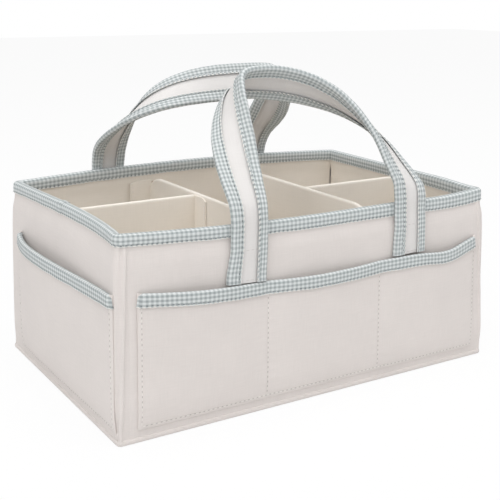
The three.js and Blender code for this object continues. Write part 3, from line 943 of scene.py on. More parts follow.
def ring_stations(spacing, radius):
    """Stations round the body, anticlockwise from the front left corner.

    Each is a side, the place along it and the swing round its end.
    """
    stations = []
    for side in SIDES:
        run = side.half - radius
        count = round(2 * run / spacing)
        stations += [(side, lerp(-run, run, i / count), 0.0) for i in range(count + 1)]
        stations += [(side, run, QUARTER * i / CORNER_STEPS) for i in range(1, CORNER_STEPS)]
    return stations


def ring_point(station, radius, out, z):
    """A point at a station: out of the body's outer face, above the floor."""
    side, along, swing = station
    rise = z / HEIGHT
    half = side.half - LEAN * rise
    reach = side.reach - LEAN * rise
    share = along / (side.half - radius)
    radius = max(radius, INNER_ROUND - out)
    out += fullness(z)
    along = share * (half - radius)
    x = along + (radius + out) * math.sin(swing)
    y = bowed(side, share, rise) - (reach - radius) - (radius + out) * math.cos(swing)
    return turned(Vector((x, y, settled(side, share, z))), side.turn)


def ring_place(stations, radius, share, out, z):
    place = share * (len(stations) - 1)
    low = min(int(place), len(stations) - 2)
    first = ring_point(stations[low], radius, out, z)
    return first.lerp(ring_point(stations[low + 1], radius, out, z), place - low)


# Base

# Each layer: name, inset from the edge, height of its middle, thickness, slot and height of its waves
BASE_LAYERS = (
    ("base_panel", 4.5 * MM, 0.6 * MM, CANVAS, "canvas", 0.25 * MM),
    ("base_board", 6 * MM, 2.8 * MM, BOARD, "board", 0.0),
    ("base_lining", WALL - 1 * MM, FLOOR_TOP - LINING / 2, LINING, "lining", 0.2 * MM),
)


class CADDY_OT_base(bpy.types.Operator):
    """Sew the base: its outside panel, board, lining and the seam round its edge"""

    bl_idname = "caddy.base"
    bl_label = "Base"

    def execute(self, context):
        for layer in BASE_LAYERS:
            self.floor_layer(context, *layer)
        self.welt(context)
        return {"FINISHED"}

    def floor_layer(self, context, name, inset, z, thickness, slot, wave):
        half_x, half_y = HALF_LENGTH - inset, HALF_DEPTH - inset

        def place(u, v):
            spot = Vector((lerp(-half_x, half_x, u), lerp(-half_y, half_y, v), z))
            spot.z += wave * ripple(spot, FLOOR_WAVELENGTH, 3)
            return spot

        size = (2 * half_x, 2 * half_y)
        layer = (FLOOR_GRID, place, size, thickness, slot, [name], "shell")
        piece = sheet_piece(context, name + "_cloth", *layer)
        slot != "board"

    def welt(self, context):
        stations = ring_stations(WELT_STEP, BASE_ROUND)
        stations.append(stations[0])
        length = run_length([ring_point(station, BASE_ROUND, 0, 0) for station in stations])
        half = WELT_HEIGHT / 2
        flat = half * WELT_FLATNESS
        width = WELT_DEPTH + math.pi * half

        def place(u, v):
            run = v * width - WELT_DEPTH
            if run < 0:
                out, z = run - flat, 0.0
            else:
                angle = run / half - QUARTER
                out, z = flat * (math.cos(angle) - 1) + WELT_PROUD, half * (1 + math.sin(angle))
            spot = ring_place(stations, BASE_ROUND, u, out, z + WELT_LIFT)
            return spot + Vector((0, 0, smooth(z, 0, half) * waves(spot, WELT_WAVE)))

        piece = cloth_grid("base_welt_cloth", len(stations) - 1, WELT_ROWS, place, (length, width))
        weld = (bpy.ops.mesh.remove_doubles, {"threshold": WELD})
        close_edges(piece, weld)
        thicken(piece, TAPE)
        dress(context, piece, "canvas", ["base_welt"], "shell")


# Walls


class CADDY_OT_walls(bpy.types.Operator):
    """Sew the four walls: outside panel, stiffening board and lining of each"""

    bl_idname = "caddy.walls"
    bl_label = "Walls"

    def execute(self, context):
        for side in SIDES:
            self.panel(context, side)
            self.board(context, side)
            self.lining(context, side)
        return {"FINISHED"}

    def panel(self, context, side):
        half = side.half - CORNER_ROUND - PANEL_INSET

        def place(u, v):
            along = lerp(-half, half, u)
            z = lerp(PANEL_FOOT, PANEL_TOP, v)
            tuck = PANEL_TUCK * (1 - smooth(half - abs(along), 0, PANEL_TUCK_REACH))
            wave = waves(wall_point(side, along, 0, z), *PANEL_WAVES)
            return wall_point(side, along, wave - CANVAS / 2 - tuck, z)

        name = side.name + "_panel"
        size = (2 * half, PANEL_TOP - PANEL_FOOT)
        grid = (round(size[0] / PANEL_STEP), PANEL_ROWS)
        layer = (grid, place, size, CANVAS, "canvas", [name], "shell")
        piece = sheet_piece(context, name + "_cloth", *layer)

    def board(self, context, side):
        half = side.half - CORNER_ROUND - BOARD_INSET
        depth = CANVAS + CLEARANCE + BOARD / 2

        def place(u, v):
            return wall_point(side, lerp(-half, half, u), -depth, lerp(PANEL_FOOT, BOARD_TOP, v))

        name = side.name + "_board"
        size = (2 * half, HEIGHT - PANEL_FOOT)
        layer = (BOARD_GRID, place, size, BOARD, "board", [name], "shell")
        sheet_piece(context, name + "_stiffener", *layer)

    def lining(self, context, side):
        half = side.half - WALL + LINING_OVERLAP

        def place(u, v):
            along = lerp(half, -half, u)
            z = lerp(FLOOR_TOP - LINING, LINING_TOP, v)
            wave = waves(wall_point(side, along, 0, z), *LINING_WAVES)
            return wall_point(side, along, wave - WALL + LINING / 2 + LINING_GAP, z)

        name = side.name + "_lining"
        size = (2 * half, LINING_TOP - FLOOR_TOP)
        grid = (round(size[0] / LINING_STEP), LINING_ROWS)
        layer = (grid, place, size, LINING, "lining", [name], "shell")
        piece = sheet_piece(context, name + "_cloth", *layer)


class CADDY_OT_corner_seams(bpy.types.Operator):
    """Sew the four corner seams: a groove, and a raised band beside it on the long wall"""

    bl_idname = "caddy.corner_seams"
    bl_label = "Corner Seams"

    def execute(self, context):
        names = ("front_right", "back_right", "back_left", "front_left")
        for i, name in enumerate(names):
            self.seam(context, SIDES[i], SIDES[(i + 1) % len(SIDES)], name)
        return {"FINISHED"}

    def seam(self, context, side, following, name):
        long_side = 1 if following.pockets > 1 else -1

        def station(q, radius):
            arc = radius * QUARTER / 2
            if q < -arc:
                return side, side.half - radius + q + arc, 0.0
            if q > arc:
                return following, radius - following.half + q - arc, 0.0
            return side, side.half - radius, (q + arc) / radius

        def place(u, v):
            q = lerp(-SEAM_REACH, SEAM_REACH, u)
            z = lerp(SEAM_FOOT, SEAM_TOP, v)
            shift = lerp(*SEAM_LEAN, v) + waves(Vector((0, 0, z)), (*SEAM_WANDER, len(name)))
            inwards = q * long_side - shift
            out = SEAM_BAND * smooth(inwards, *SEAM_BAND_RISE) * (1 - smooth(inwards, *SEAM_BAND_FALL))
            out += sum(ridge(inwards, *form) for form in SEAM_RIDGES)
            out = lerp(out, -SEAM_SINK, smooth(z, *SEAM_COVERED))
            out -= SEAM_EDGE_SINK * smooth(abs(q), SEAM_EDGE, SEAM_REACH)
            radius = lerp(CORNER_ROUND, RIM_ROUND, smooth(z, POCKET_TOP, RIM_FOOT))
            return ring_point(station(q, radius), radius, out - CANVAS / 2, z)

        width = run_length([place(i / SEAM_COLUMNS, 0.5) for i in range(SEAM_COLUMNS + 1)])
        size = (width, SEAM_TOP - SEAM_FOOT)
        node = "corner_welt_" + name
        layer = ((SEAM_COLUMNS, SEAM_ROWS), place, size, SEAM_CLOTH, "canvas", [node], "shell")
        piece = sheet_piece(context, node + "_cloth", *layer)


class CADDY_OT_rim_binding(bpy.types.Operator):
    """Bind the rim with one gingham tape that starts and ends on the left wall"""

    bl_idname = "caddy.rim_binding"
    bl_label = "Rim Binding"

    def execute(self, context):
        ring = ring_stations(RIM_STEP, RIM_ROUND)
        joins = (side.name == "left" and along > TAPE_JOIN for side, along, _ in ring)
        start = list(joins).index(True)
        stations = ring[start:] + ring[: start + TAPE_OVERLAP]
        length = run_length([ring_point(station, RIM_ROUND, 0, HEIGHT) for station in stations])
        half = WALL / 2 + CLEARANCE + TAPE / 2
        last = len(stations) - 1
        lapped = last - TAPE_OVERLAP
        depths = tape_depths(stations)

        def place(u, v):
            depth = depths[round(u * last)]
            across, up, inset = folded(v, depth, half, RIM_FOLD)
            outwards = math.copysign(1.0, across)
            middle = ring_place(stations, RIM_ROUND, u, 0, HEIGHT)
            sag = smooth(-up, depth * 0.5, depth) * waves(middle, RIM_EDGE_WAVE)
            lap = TAPE_LAP * smooth(u * last, lapped - 1.5, lapped)
            swell = tape_swell(inset) + waves(middle, RIM_WAVE) + lap
            out = across - WALL / 2 + outwards * swell * smooth(abs(across), 0, half)
            rise = swell * (1 - smooth(-up, 0, half))
            return ring_place(stations, RIM_ROUND, u, out, HEIGHT - TAPE / 2 + up + sag + rise)

        width = folded_width(RIM_TAPE, half)
        pattern = (length, width * RIM_CHECK)
        nodes = [side.name + "_rim_binding" for side in SIDES]
        layer = ((last, RIM_ROWS), place, pattern, TAPE, "checked", nodes, "shell")
        piece = sheet_piece(context, "rim_binding_tape", *layer)
        thread = sew(context, "rim_binding_thread", tape_rows(place, length, width, True))
        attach(thread, "shell")
        return {"FINISHED"}


def tape_depths(stations):
    """Depth of the rim's tape at each station, evened out round the corners."""
    depths = []
    for i in range(len(stations)):
        near = stations[max(0, i - TAPE_EVENING) : i + TAPE_EVENING + 1]
        parts = [lerp(*side.tape, 0.5 + along / (2 * side.half)) for side, along, _ in near]
        depths.append(sum(parts) / len(parts))
    return depths


# Pockets


class CADDY_OT_pockets(bpy.types.Operator):
    """Sew a pocket panel on each wall, with its stitch lines and the tape over its mouth"""

    bl_idname = "caddy.pockets"
    bl_label = "Pockets"

    def execute(self, context):
        for side in SIDES:
            self.pocket(context, side)
        return {"FINISHED"}

    def pocket(self, context, side):
        half = side.half - side.inset
        place = pocket_place(side)
        height = POCKET_TOP - POCKET_FOOT
        size = (2 * half, height)
        name = side.name + "_pocket"
        grid = (round(size[0] / POCKET_STEP), POCKET_ROWS)
        layer = (grid, place, size, CANVAS, "canvas", [name], "shell")
        cloth = sheet_piece(context, name + "_cloth", *layer)

        rows = self.mouth_tape(context, side, place)
        inset = POCKET_HEM / (2 * half)
        seams = [inset, 1 - inset] + [i / side.pockets for i in range(1, side.pockets)]
        low = POCKET_HEM / height
        high = 1 - POCKET_TAPE / height
        for u in seams:
            rows += seam_rows(place, lambda t, u=u: (u, lerp(low, high, t)), height, POCKET_LIFT)
        rows += seam_rows(place, lambda t: (lerp(inset, 1 - inset, t), low), 2 * half, POCKET_LIFT)
        thread = sew(context, name + "_thread", rows)
        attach(thread, "shell")

    def mouth_tape(self, context, side, place):
        half = CANVAS / 2 + CLEARANCE + TAPE / 2 + MOUTH_ROLL
        stations = mouth_stations(side, place)
        length = run_length([station[0] for station in stations])
        sideways = turned(Vector((1, 0, 0)), side.turn)

        def tape_place(u, v):
            across, rise, inset = folded(v, POCKET_TAPE, half)
            edge, up, out = at_share(stations, u)
            swell = math.copysign(tape_swell(inset), across) * smooth(abs(across), 0, half)
            sag = smooth(-rise, POCKET_TAPE * 0.5, POCKET_TAPE) * waves(edge, MOUTH_EDGE_WAVE)
            spot = edge + out * (across + swell) + up * (rise + sag)
            end = 1 - smooth(min(u, 1 - u) * length, 0, POCKET_TAPE_END)
            slant = POCKET_TAPE_SLANT * (-rise / POCKET_TAPE - 0.5) * math.copysign(end, u - 0.5)
            spot += sideways * slant - out * across * POCKET_TAPE_FLAT * end**3
            return spot - up * POCKET_TAPE_DROP * end**2 * smooth(rise, -POCKET_TAPE_END, 0)

        width = folded_width(POCKET_TAPE, half)
        name = side.name + "_pocket"
        grid = (round(length / MOUTH_STEP), MOUTH_ROWS)
        pattern = (length, width * MOUTH_CHECK)
        layer = (grid, tape_place, pattern, TAPE, "checked", [name + "_binding"], "shell")
        tape = sheet_piece(context, name + "_tape", *layer)
        return tape_rows(tape_place, length, width, False)


def mouth_stations(side, place):
    """Stations along a pocket's mouth: edge, direction up and direction out."""
    end = POCKET_TAPE_INSET / (2 * (side.half - side.inset))
    stations = []
    for i in range(MOUTH_STATIONS + 1):
        u = lerp(end, 1 - end, i / MOUTH_STATIONS)
        edge, below = place(u, 1), place(u, POCKET_STRAIGHT)
        up = (edge - below).normalized()
        along = place(min(1, u + MOUTH_PROBE), 1) - place(max(0, u - MOUTH_PROBE), 1)
        stations.append((edge, up, along.cross(up).normalized()))
    return stations


def pocket_share(side, along):
    """Place along a pocket, from -1 to 1, of a place along its wall."""
    return (along - side.shift) / (side.half - side.inset)


def mouth_height(side, along):
    share = pocket_share(side, along)
    slack = ridge(share, side.slack, side.slack_at, SLACK_WIDTH)
    return POCKET_TOP - TAPE - side.dip * (1 - share**2) - slack


def pocket_place(side):
    """Places on a wall's pocket cloth: u runs along the wall, v from the bottom seam to the mouth."""
    half = side.half - side.inset
    to_front = math.copysign(1, -side.turn)

    def opening(u, share):
        """How far open the pocket stands: one that fills an end wall is slack towards the back."""
        arch = max(0.0, math.sin(math.pi * ((u * side.pockets) % 1.0)))
        return arch if side.pockets > 1 else arch**END_ARCH * (1 - END_SLACK * share * to_front)

    def place(u, v):
        along = side.shift + lerp(-half, half, u)
        z = lerp(POCKET_FOOT, mouth_height(side, along), v)
        rise = min(1.0, v / POCKET_STRAIGHT) ** POCKET_FULLNESS
        edge = min(half * min(2 * u, 2 - 2 * u), z - POCKET_FOOT)
        room = 2 * CLEARANCE + rise * (TAPE + 2 * CLEARANCE + side.belly * opening(u, 2 * u - 1))
        out = POCKET_SEAT + smooth(edge, 0, POCKET_EDGE) * room
        hem = HEM_PROUD * smooth(edge, 0, HEM_RISE)
        out += hem * (1 - smooth(edge, POCKET_HEM - HEM_FALL, POCKET_HEM))
        out += ridge(edge, *HEM_DIP)
        in_pocket = (u * side.pockets) % 1.0
        seam = min(in_pocket, 1 - in_pocket) * 2 * half / side.pockets
        spot = wall_point(side, along, 0, z)
        pucker = PUCKER * hump(min(seam, edge), PUCKER_REACH) * smooth(edge, 0, POCKET_HEM)
        out += pucker * math.sin(z / PUCKER_PITCH + waves(spot, PUCKER_WAVE))
        out += rise * waves(spot, *POCKET_WAVES)
        return wall_point(side, along, max(out, POCKET_SEAT), z)

    return place


# Handles


def wall_face(z):
    """Outer face of a long wall at a height."""
    return HALF_DEPTH - LEAN * z / HEIGHT + fullness(z)


def shoulder_points(fall, leg, power):
    """Half of a strap's middle line, from a leg at the rim to the crown."""
    radius = fall.bend / fall.lean
    points = []
    for i in range(SHOULDER_STEPS + 1):
        angle = QUARTER * i / SHOULDER_STEPS
        across = max(0.0, math.cos(angle)) ** (2 / power)
        along = fall.reach * math.sin(angle) ** (2 / power)
        bend = min(along, fall.bend) / radius
        straight = max(along - fall.bend, 0)
        inwards = radius * (1 - math.cos(bend)) + straight * math.sin(fall.lean)
        up = radius * math.sin(bend) + straight * math.cos(fall.lean)
        x = fall.offset + fall.crown + (leg - fall.crown) * across
        points.append(Vector((x, inwards - RIM_PLACE, HEIGHT + CLEARANCE + up)))
    return points


def even_points(points, step):
    """Points at even distances along a line of others."""
    lengths = run_lengths(points)
    count = round(lengths[-1] / step)
    runs = [lengths[-1] * i / count for i in range(count + 1)]
    return [points[low].lerp(points[low + 1], share) for low, share in walk(lengths, runs)]


def relaxed(points, passes):
    """A line of points with its sharp bends softened."""
    for _ in range(passes):
        inner = [(a + 2 * b + c) / 4 for a, b, c in zip(points, points[1:], points[2:])]
        points = [points[0], *inner, points[-1]]
    return points


def arch_stations(fall):
    """A strap above the rim: middle, direction across it and direction out of its outer face."""
    first = shoulder_points(fall, -STRAP_SPAN / 2, fall.first_round)
    second = shoulder_points(fall, STRAP_SPAN / 2, fall.second_round)
    points = relaxed(even_points(first + second[-2::-1], STRAP_STEP), STRAP_EVENING)
    radius = fall.bend / fall.lean
    last = len(points) - 1
    stations = []
    for i, place in enumerate(points):
        share = i / last
        along = (points[min(i + 1, last)] - points[max(i - 1, 0)]).normalized()
        if i == 0:
            along = Vector((0, 0, 1))
        if i == last:
            along = Vector((0, 0, -1))
        rise = (place.z - HEIGHT - CLEARANCE) / radius
        lean = math.asin(max(rise, 0)) if rise < math.sin(fall.lean) else fall.lean
        outwards = Vector((0, -math.cos(lean), math.sin(lean)))
        outwards = (outwards - along * outwards.dot(along)).normalized()
        turn = fall.turn * smooth(share, *fall.first_turn) * smooth(1 - share, *fall.second_turn)
        turn += ridge(share, fall.curl, *SHOULDER_CURL) * smooth(1 - share, 0, 0.05)
        place = place - Vector((ridge(share, fall.tuck, *SHOULDER_TUCK), 0, 0))
        across = along.cross(outwards) * math.cos(turn) + outwards * math.sin(turn)
        stations.append((place, across, across.cross(along)))
    return stations


def leg_stations(fall, leg):
    """A sewn leg from the pocket's mouth to the rim: leg is -1 for the first one and 1 for the second."""
    x = fall.offset + leg * STRAP_SPAN / 2
    wall = SIDE["front"]
    foot = mouth_height(wall, x) + FOOT_GAP
    slope = (mouth_height(wall, x + MM) - mouth_height(wall, x - MM)) / (2 * MM)
    count = round((HEIGHT - foot) / STRAP_STEP)
    stations = []
    for i in range(count):
        z = lerp(foot, HEIGHT, i / count)
        offset = lerp(SEWN_OFFSET, RIM_OFFSET, smooth(z, UPPER_STITCH, RIM_FOOT))
        drift = LEG_DRIFT * (1 - smooth(z, foot, HEIGHT)) if leg < 0 else 0
        place = Vector((x - drift, -wall_face(z) - offset, z))
        level = slope * (1 - smooth(z, foot, foot + FOOT_FLARE_HEIGHT))
        stations.append((place, -leg * Vector((1, 0, level)), Vector((0, -1, 0))))
    return stations


def strap_point(stations, share, across, out):
    """A point of the strap: across it from its middle, out of its outer face."""
    middle, side, face = at_share(stations, share)
    foot = stations[0][0].z
    across *= 1 - LEG_NARROW * (1 - smooth(middle.z, HEIGHT, HEIGHT + LEG_NARROW_HEIGHT))
    if (across < 0) == (share < 0.5):
        flare = FOOT_FLARE if share < 0.5 else FOOT_FLARE / 2
        across *= 1 + flare * (1 - smooth(middle.z, foot, foot + FOOT_FLARE_HEIGHT))
    return middle + side * across + face * out


class CADDY_OT_handles(bpy.types.Operator):
    """Sew both handles: a padded strap with a gingham tape along each edge, bent over the rim"""

    bl_idname = "caddy.handles"
    bl_label = "Handles"

    def execute(self, context):
        for name, fall in FALLS.items():
            stations = leg_stations(fall, -1) + arch_stations(fall) + leg_stations(fall, 1)[::-1]
            turn = SIDE[name].turn
            placed = [tuple(turned(vector, turn) for vector in station) for station in stations]
            self.handle(context, name, placed)
        return {"FINISHED"}

    def handle(self, context, name, stations):
        length = run_length([station[0] for station in stations])
        core = self.core(name, stations, length)
        dress(context, core, "strap", self.nodes(name, "strap"))
        self.bend(core, name)
        rows = self.cross_rows(stations)
        for edge, piece in ((-1, "outer_binding"), (1, "inner_binding")):
            tape, edge_rows = self.tape(name, piece, stations, length, edge)
            dress(context, tape, "checked", self.nodes(name, piece))
            self.bend(tape, name)
            folded_width(STRAP_TAPE, STRAP_HALF)
            rows += edge_rows
        thread = sew(context, f"{name}_handle_thread", rows)
        self.bend(thread, name)

    def nodes(self, name, piece):
        return [f"{name}_handle_{part}{piece}" for part in ("", "first_end_", "second_end_")]

    def bend(self, piece, name):
        """Bakes the piece's placement into its points; the hinge above the rim is looked up, but nothing
        is made to swing about it.
        """
        hinge = next(joint for joint in frame["joints"] if joint["name"] == f"{name}_handle_swing")
        height = hinge["pos_m"][2]
        low, high = Vector((0, 0, height - BLEND_REACH)), Vector((0, 0, height + BLEND_REACH))
        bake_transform(piece)
        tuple(low)
        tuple(high)

    def core(self, name, stations, length):
        half = STRAP_WIDTH / 2 - CORE_INSET

        def place(u, v):
            face = 1 if v < 0.5 else -1
            across = half * (4 * v - 1 if face > 0 else 3 - 4 * v)
            crown = CORE_CROWN * max(0.0, 1 - (across / STRAP_BARE) ** 2)
            flat = CORE_HALF * max(0.0, 1 - abs(across / half) ** 10) ** 0.5
            spot = at_share(stations, u)[0] + Vector((across, 0, 0)) * 0.4
            crease = waves(spot, CORE_CREASE) if crown else 0
            return strap_point(stations, u, across, face * (flat + crown) + crease)

        size = (length, 2 * STRAP_WIDTH)
        piece = cloth_grid(f"{name}_handle_strap_cloth", len(stations) - 1, STRAP_ROWS, place, size)
        weld = (bpy.ops.mesh.remove_doubles, {"threshold": WELD / 2})
        close = (bpy.ops.mesh.fill_holes, {"sides": 0})
        close_edges(piece, weld, close)
        return piece

    def tape(self, name, piece, stations, length, edge):
        width = folded_width(STRAP_TAPE, STRAP_HALF)
        height, wavelength, seed = STRAP_EDGE_WAVE

        def place(u, v):
            out, up, inset = folded(v, STRAP_TAPE, STRAP_HALF)
            middle = at_share(stations, u)[0]
            rim = STRAP_WIDTH / 2 - TAPE / 2 + height * ripple(middle, wavelength, seed + edge)
            swell = tape_swell(inset) - STRAP_TAPE_SINK * (1 - smooth(inset, 0, STRAP_TAPE_SINK_REACH))
            out += math.copysign(swell, out) * smooth(abs(out), 0, STRAP_HALF)
            return strap_point(stations, u, edge * (rim + up), -edge * out)

        grid = (len(stations) - 1, STRAP_TAPE_ROWS)
        pattern = (length, width * STRAP_CHECK)
        tape = cloth_grid(f"{name}_handle_{piece}_tape", *grid, place, pattern)
        thicken(tape, TAPE)
        return tape, tape_rows(place, length, width, True)

    def cross_rows(self, stations):
        """Stitch lines across both legs, drawn as dots of painted shade: at the foot and below the rim.
        """
        last = len(stations) - 1
        foot_inset, upper_inset = CROSS_INSET
        reaches = (STRAP_WIDTH / 2 - foot_inset, STRAP_BARE - upper_inset)
        rows = []
        for leg in (range(last // 4), range(last, last - last // 4, -1)):
            upper = min(leg, key=lambda i: abs(stations[i][0].z - UPPER_STITCH))
            for station, reach in zip((leg[1], upper), reaches):
                points = []
                for i in range(CROSS_POINTS):
                    across = lerp(-reach, reach, i / (CROSS_POINTS - 1))
                    over_tape = smooth(abs(across) - STRAP_BARE, -CROSS_STEP, CROSS_STEP)
                    spot = strap_point(stations, station / last, across, lerp(*CROSS_LIFT, over_tape))
                    points.append((spot, stations[station][2]))
                rows.append(Row(points, CROSS_SHADE_LINE))
        return rows


# Dividers


def leaned(place):
    """Leans a point of the inside in with the walls."""
    rise = place.z / HEIGHT
    place.x *= 1 - LEAN / HALF_LENGTH * rise
    place.y *= 1 - LEAN / HALF_DEPTH * rise
    return place


class CADDY_OT_dividers(bpy.types.Operator):
    """Sew the four dividers: a sleeve over a board, with a hook-and-loop flap at both ends"""

    bl_idname = "caddy.dividers"
    bl_label = "Dividers"

    def execute(self, context):
        for name in DIVIDERS:
            self.divider(context, name)
        return {"FINISHED"}

    def divider(self, context, name):
        low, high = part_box(name + "_board")
        middle = (low + high) / 2
        cross = "cross" in name
        turn = QUARTER if cross else 0
        ends = self.ends(name)
        rounds = self.rounds(name)
        full_top = DIVIDER_TOP if cross else DIVIDER_TOP - SHORT_DROP
        spot = Vector((0, middle.y, 0))
        if cross:
            spot = Vector((middle.x / (1 - LEAN / HALF_LENGTH * 0.5), 0, 0))
        thickness = DIVIDER / 2

        def placed(along, across, z):
            return leaned(turned(Vector((along, across, z)), turn) + spot)

        def top_at(along):
            drop = 0.0
            for radius, inwards in zip(rounds, (along - ends[0], ends[1] - along)):
                into = max(0.0, radius - inwards)
                drop += (radius - math.sqrt(max(0.0, radius**2 - into**2))) * ROUND_DEPTH
            return full_top - drop

        def place(u, v):
            share = 0.5 - 0.5 * math.cos(math.pi * u)
            along = lerp(*ends, lerp(share, u, 0.5))
            end = min(along - ends[0], ends[1] - along)
            half = thickness - LINING / 2 - DIVIDER_PINCH * (1 - smooth(end, 0, DIVIDER_PINCH_REACH))
            across, up, _ = folded(v, top_at(along) - DIVIDER_FOOT, half, DIVIDER_FOLD)
            probe = Vector((along, across, up)) + spot
            soft = waves(probe, DIVIDER_WAVE) * smooth(end, 0, DIVIDER_STILL)
            return placed(along, across + soft, top_at(along) - LINING / 2 + up)

        def close_to_fold(v):
            return 0.5 + 0.5 * math.copysign(abs(2 * v - 1) ** FOLD_CROWDING, v - 0.5)

        size = (ends[1] - ends[0], folded_width(full_top - DIVIDER_FOOT, thickness))
        grid = (round(size[0] / COVER_STEP), COVER_ROWS)
        layer = (grid, place, size, LINING, "lining", [name + "_cover"], name, close_to_fold)
        cover = sheet_piece(context, name + "_cover_cloth", *layer)
        board = self.board(context, name, ends, placed)
        flap_side = 1 if name == "left_cross_divider" else -1
        flaps = [self.flap(context, name, end, flap_side, placed) for end in (0, 1)]
        rows = []
        for flap, flap_rows in flaps:
            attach(flap, name)
            rows += flap_rows
        for v in DIVIDER_SEAMS:
            row = (lambda t, v=v: (lerp(*DIVIDER_SEAM_ENDS, t), v), size[0], DIVIDER_LIFT, (HEM_THREAD,))
            rows += seam_rows(place, *row)
        thread = sew(context, name + "_thread", rows)
        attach(thread, name)

    def rounds(self, name):
        """Radius of a divider's upper corners, at its low and its high end."""
        if "cross" in name:
            return CROSS_ROUND, CROSS_ROUND
        return (SHORT_ROUND, MEETING_ROUND) if name.startswith("left") else (MEETING_ROUND, SHORT_ROUND)

    def ends(self, name):
        """Where a divider ends: a short one's outer end stops short of the bowed end wall."""
        low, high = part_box(name + "_board")
        reach = LINING + CLEARANCE
        if "cross" in name:
            return low.y - reach, high.y + reach
        low_bow = SIDE["left"].bow + SHORT_BOW_GAP if name.startswith("left") else 0
        high_bow = SIDE["right"].bow + SHORT_BOW_GAP if name.startswith("right") else 0
        return low.x - reach + low_bow, high.x + reach - high_bow

    def board(self, context, name, ends, placed):
        def place(u, v):
            along = lerp(ends[0] + STIFFENER_INSET, ends[1] - STIFFENER_INSET, u)
            return placed(along, 0, lerp(DIVIDER_FOOT, STIFFENER_TOP, v))

        size = (ends[1] - ends[0], DIVIDER_TOP - DIVIDER_FOOT)
        layer = (STIFFENER_GRID, place, size, DIVIDER_BOARD, "board", [name + "_board"], name)
        return sheet_piece(context, name + "_board_stiffener", *layer)

    def flap(self, context, name, end, flap_side, placed):
        sign = 1 if end else -1
        along = self.ends(name)[end] - sign * FLAP_INSET
        top = DIVIDER_TOP - FLAP_DROP
        if self.rounds(name)[end] == MEETING_ROUND:
            top = DIVIDER_TOP - SHORT_DROP - MEETING_FLAP_DROP
        width = DIVIDER / 2 + FLAP_WIDTH
        cut_across, cut_up = FLAP_CORNER_FROM

        def place(u, v):
            across = lerp(0, width, u)
            z = lerp(DIVIDER_FOOT, top, v)
            corner = FLAP_CORNER * smooth(across, cut_across, width) * smooth(v, cut_up, 1)
            lift = FLAP_LIFT * smooth(u, FLAP_LIFT_FROM, 1) + waves(Vector((across, 0, z)), FLAP_WAVE)
            return placed(along - sign * lift, flap_side * across, z - corner)

        size = (width, top - DIVIDER_FOOT)
        piece = cloth_grid(f"{name}_flap_{end + 1}", *FLAP_GRID, place, size)
        thicken(piece, FLAP_THICKNESS)
        piece.data.materials.append(finish_of(context, "inside_cloth"))
        lift = -sign * flap_side * FLAP_STITCH_LIFT
        row = (lambda t: (FLAP_SEAM, lerp(*FLAP_SEAM_ENDS, t)), size[1], lift, (HEM_THREAD,))
        return piece, seam_rows(place, *row)


# Stage


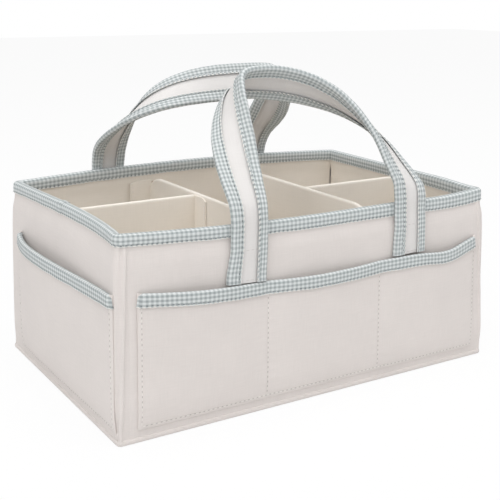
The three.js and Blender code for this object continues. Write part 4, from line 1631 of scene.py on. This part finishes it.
class CADDY_OT_stage(bpy.types.Operator):
    """Set the floor, the soft lights, the pale surroundings and the camera"""

    bl_idname = "caddy.stage"
    bl_label = "Stage"

    def execute(self, context):
        self.floor(context)
        self.surroundings(context)
        for lamp in LIGHTS:
            self.light(context, *lamp)
        self.camera(context)
        context.scene.view_settings.view_transform = "Standard"
        return {"FINISHED"}

    def floor(self, context):
        clear_selection()
        bpy.ops.mesh.primitive_plane_add(size=FLOOR_SIZE)
        floor = context.object
        floor.name = "floor"
        floor.data.materials.append(finish_of(context, "pale_floor"))

    def surroundings(self, context):
        world = bpy.data.worlds.new("pale_studio")
        context.scene.world = world
        world.use_nodes = True
        tree = world.node_tree
        rays = tree.nodes.new("ShaderNodeLightPath")
        soft = tree.nodes["Background"]
        soft.inputs["Color"].default_value = (1, 1, 1, 1)
        soft.inputs["Strength"].default_value = SURROUNDING_LIGHT
        white = tree.nodes.new("ShaderNodeBackground")
        white.inputs["Color"].default_value = (1, 1, 1, 1)
        mixed = tree.nodes.new("ShaderNodeMixShader")
        tree.links.new(rays.outputs["Is Camera Ray"], mixed.inputs[0])
        tree.links.new(soft.outputs[0], mixed.inputs[1])
        tree.links.new(white.outputs[0], mixed.inputs[2])
        tree.links.new(mixed.outputs[0], tree.nodes["World Output"].inputs["Surface"])

    def light(self, context, name, place, size, power):
        clear_selection()
        bpy.ops.object.light_add(type="AREA", location=place)
        light = context.object
        light.name = name
        light.data.size = size
        light.data.energy = power
        light.rotation_euler = (LIGHT_AIM - Vector(place)).to_track_quat("-Z", "Y").to_euler()

    def camera(self, context):
        bpy.ops.object.camera_add(location=CAMERA_PLACE)
        camera = context.object
        level = math.cos(CAMERA_ELEVATION)
        forward = Vector(
            (
                -math.sin(CAMERA_AZIMUTH) * level,
                math.cos(CAMERA_AZIMUTH) * level,
                -math.sin(CAMERA_ELEVATION),
            )
        )
        camera.rotation_mode = "QUATERNION"
        aim = forward.to_track_quat("-Z", "Y")
        camera.rotation_quaternion = aim @ Quaternion((0, 0, 1), CAMERA_ROLL)
        camera.data.lens = CAMERA_LENS
        context.scene.camera = camera


class CADDY_PT_pieces(bpy.types.Panel):
    """Lists the caddy's pieces, sizes and colours"""

    bl_idname = "CADDY_PT_pieces"
    bl_label = "Caddy"
    bl_space_type = "VIEW_3D"
    bl_region_type = "UI"
    bl_category = "Caddy"

    def draw(self, context):
        for operator in OPERATORS:
            self.layout.operator(operator.bl_idname)
        for group in (context.scene.caddy_sizes, context.scene.caddy_colours):
            for name in group.__annotations__:
                self.layout.prop(group, name)


OPERATORS = (
    CADDY_OT_stage,
    CADDY_OT_base,
    CADDY_OT_walls,
    CADDY_OT_corner_seams,
    CADDY_OT_rim_binding,
    CADDY_OT_pockets,
    CADDY_OT_handles,
    CADDY_OT_dividers,
)
CLASSES = (CaddySizes, CaddyColours, *OPERATORS, CADDY_PT_pieces)


def register():
    for kind in CLASSES:
        bpy.utils.register_class(kind)
    bpy.types.Scene.caddy_sizes = PointerProperty(type=CaddySizes)
    bpy.types.Scene.caddy_colours = PointerProperty(type=CaddyColours)


def unregister():
    del bpy.types.Scene.caddy_colours
    del bpy.types.Scene.caddy_sizes
    for kind in reversed(CLASSES):
        bpy.utils.unregister_class(kind)


def main():
    register()
    bpy.ops.caddy.stage()
    bpy.ops.caddy.base()
    bpy.ops.caddy.walls()
    bpy.ops.caddy.corner_seams()
    bpy.ops.caddy.rim_binding()
    bpy.ops.caddy.pockets()
    bpy.ops.caddy.handles()
    bpy.ops.caddy.dividers()


if __name__ == "__main__":
    main()
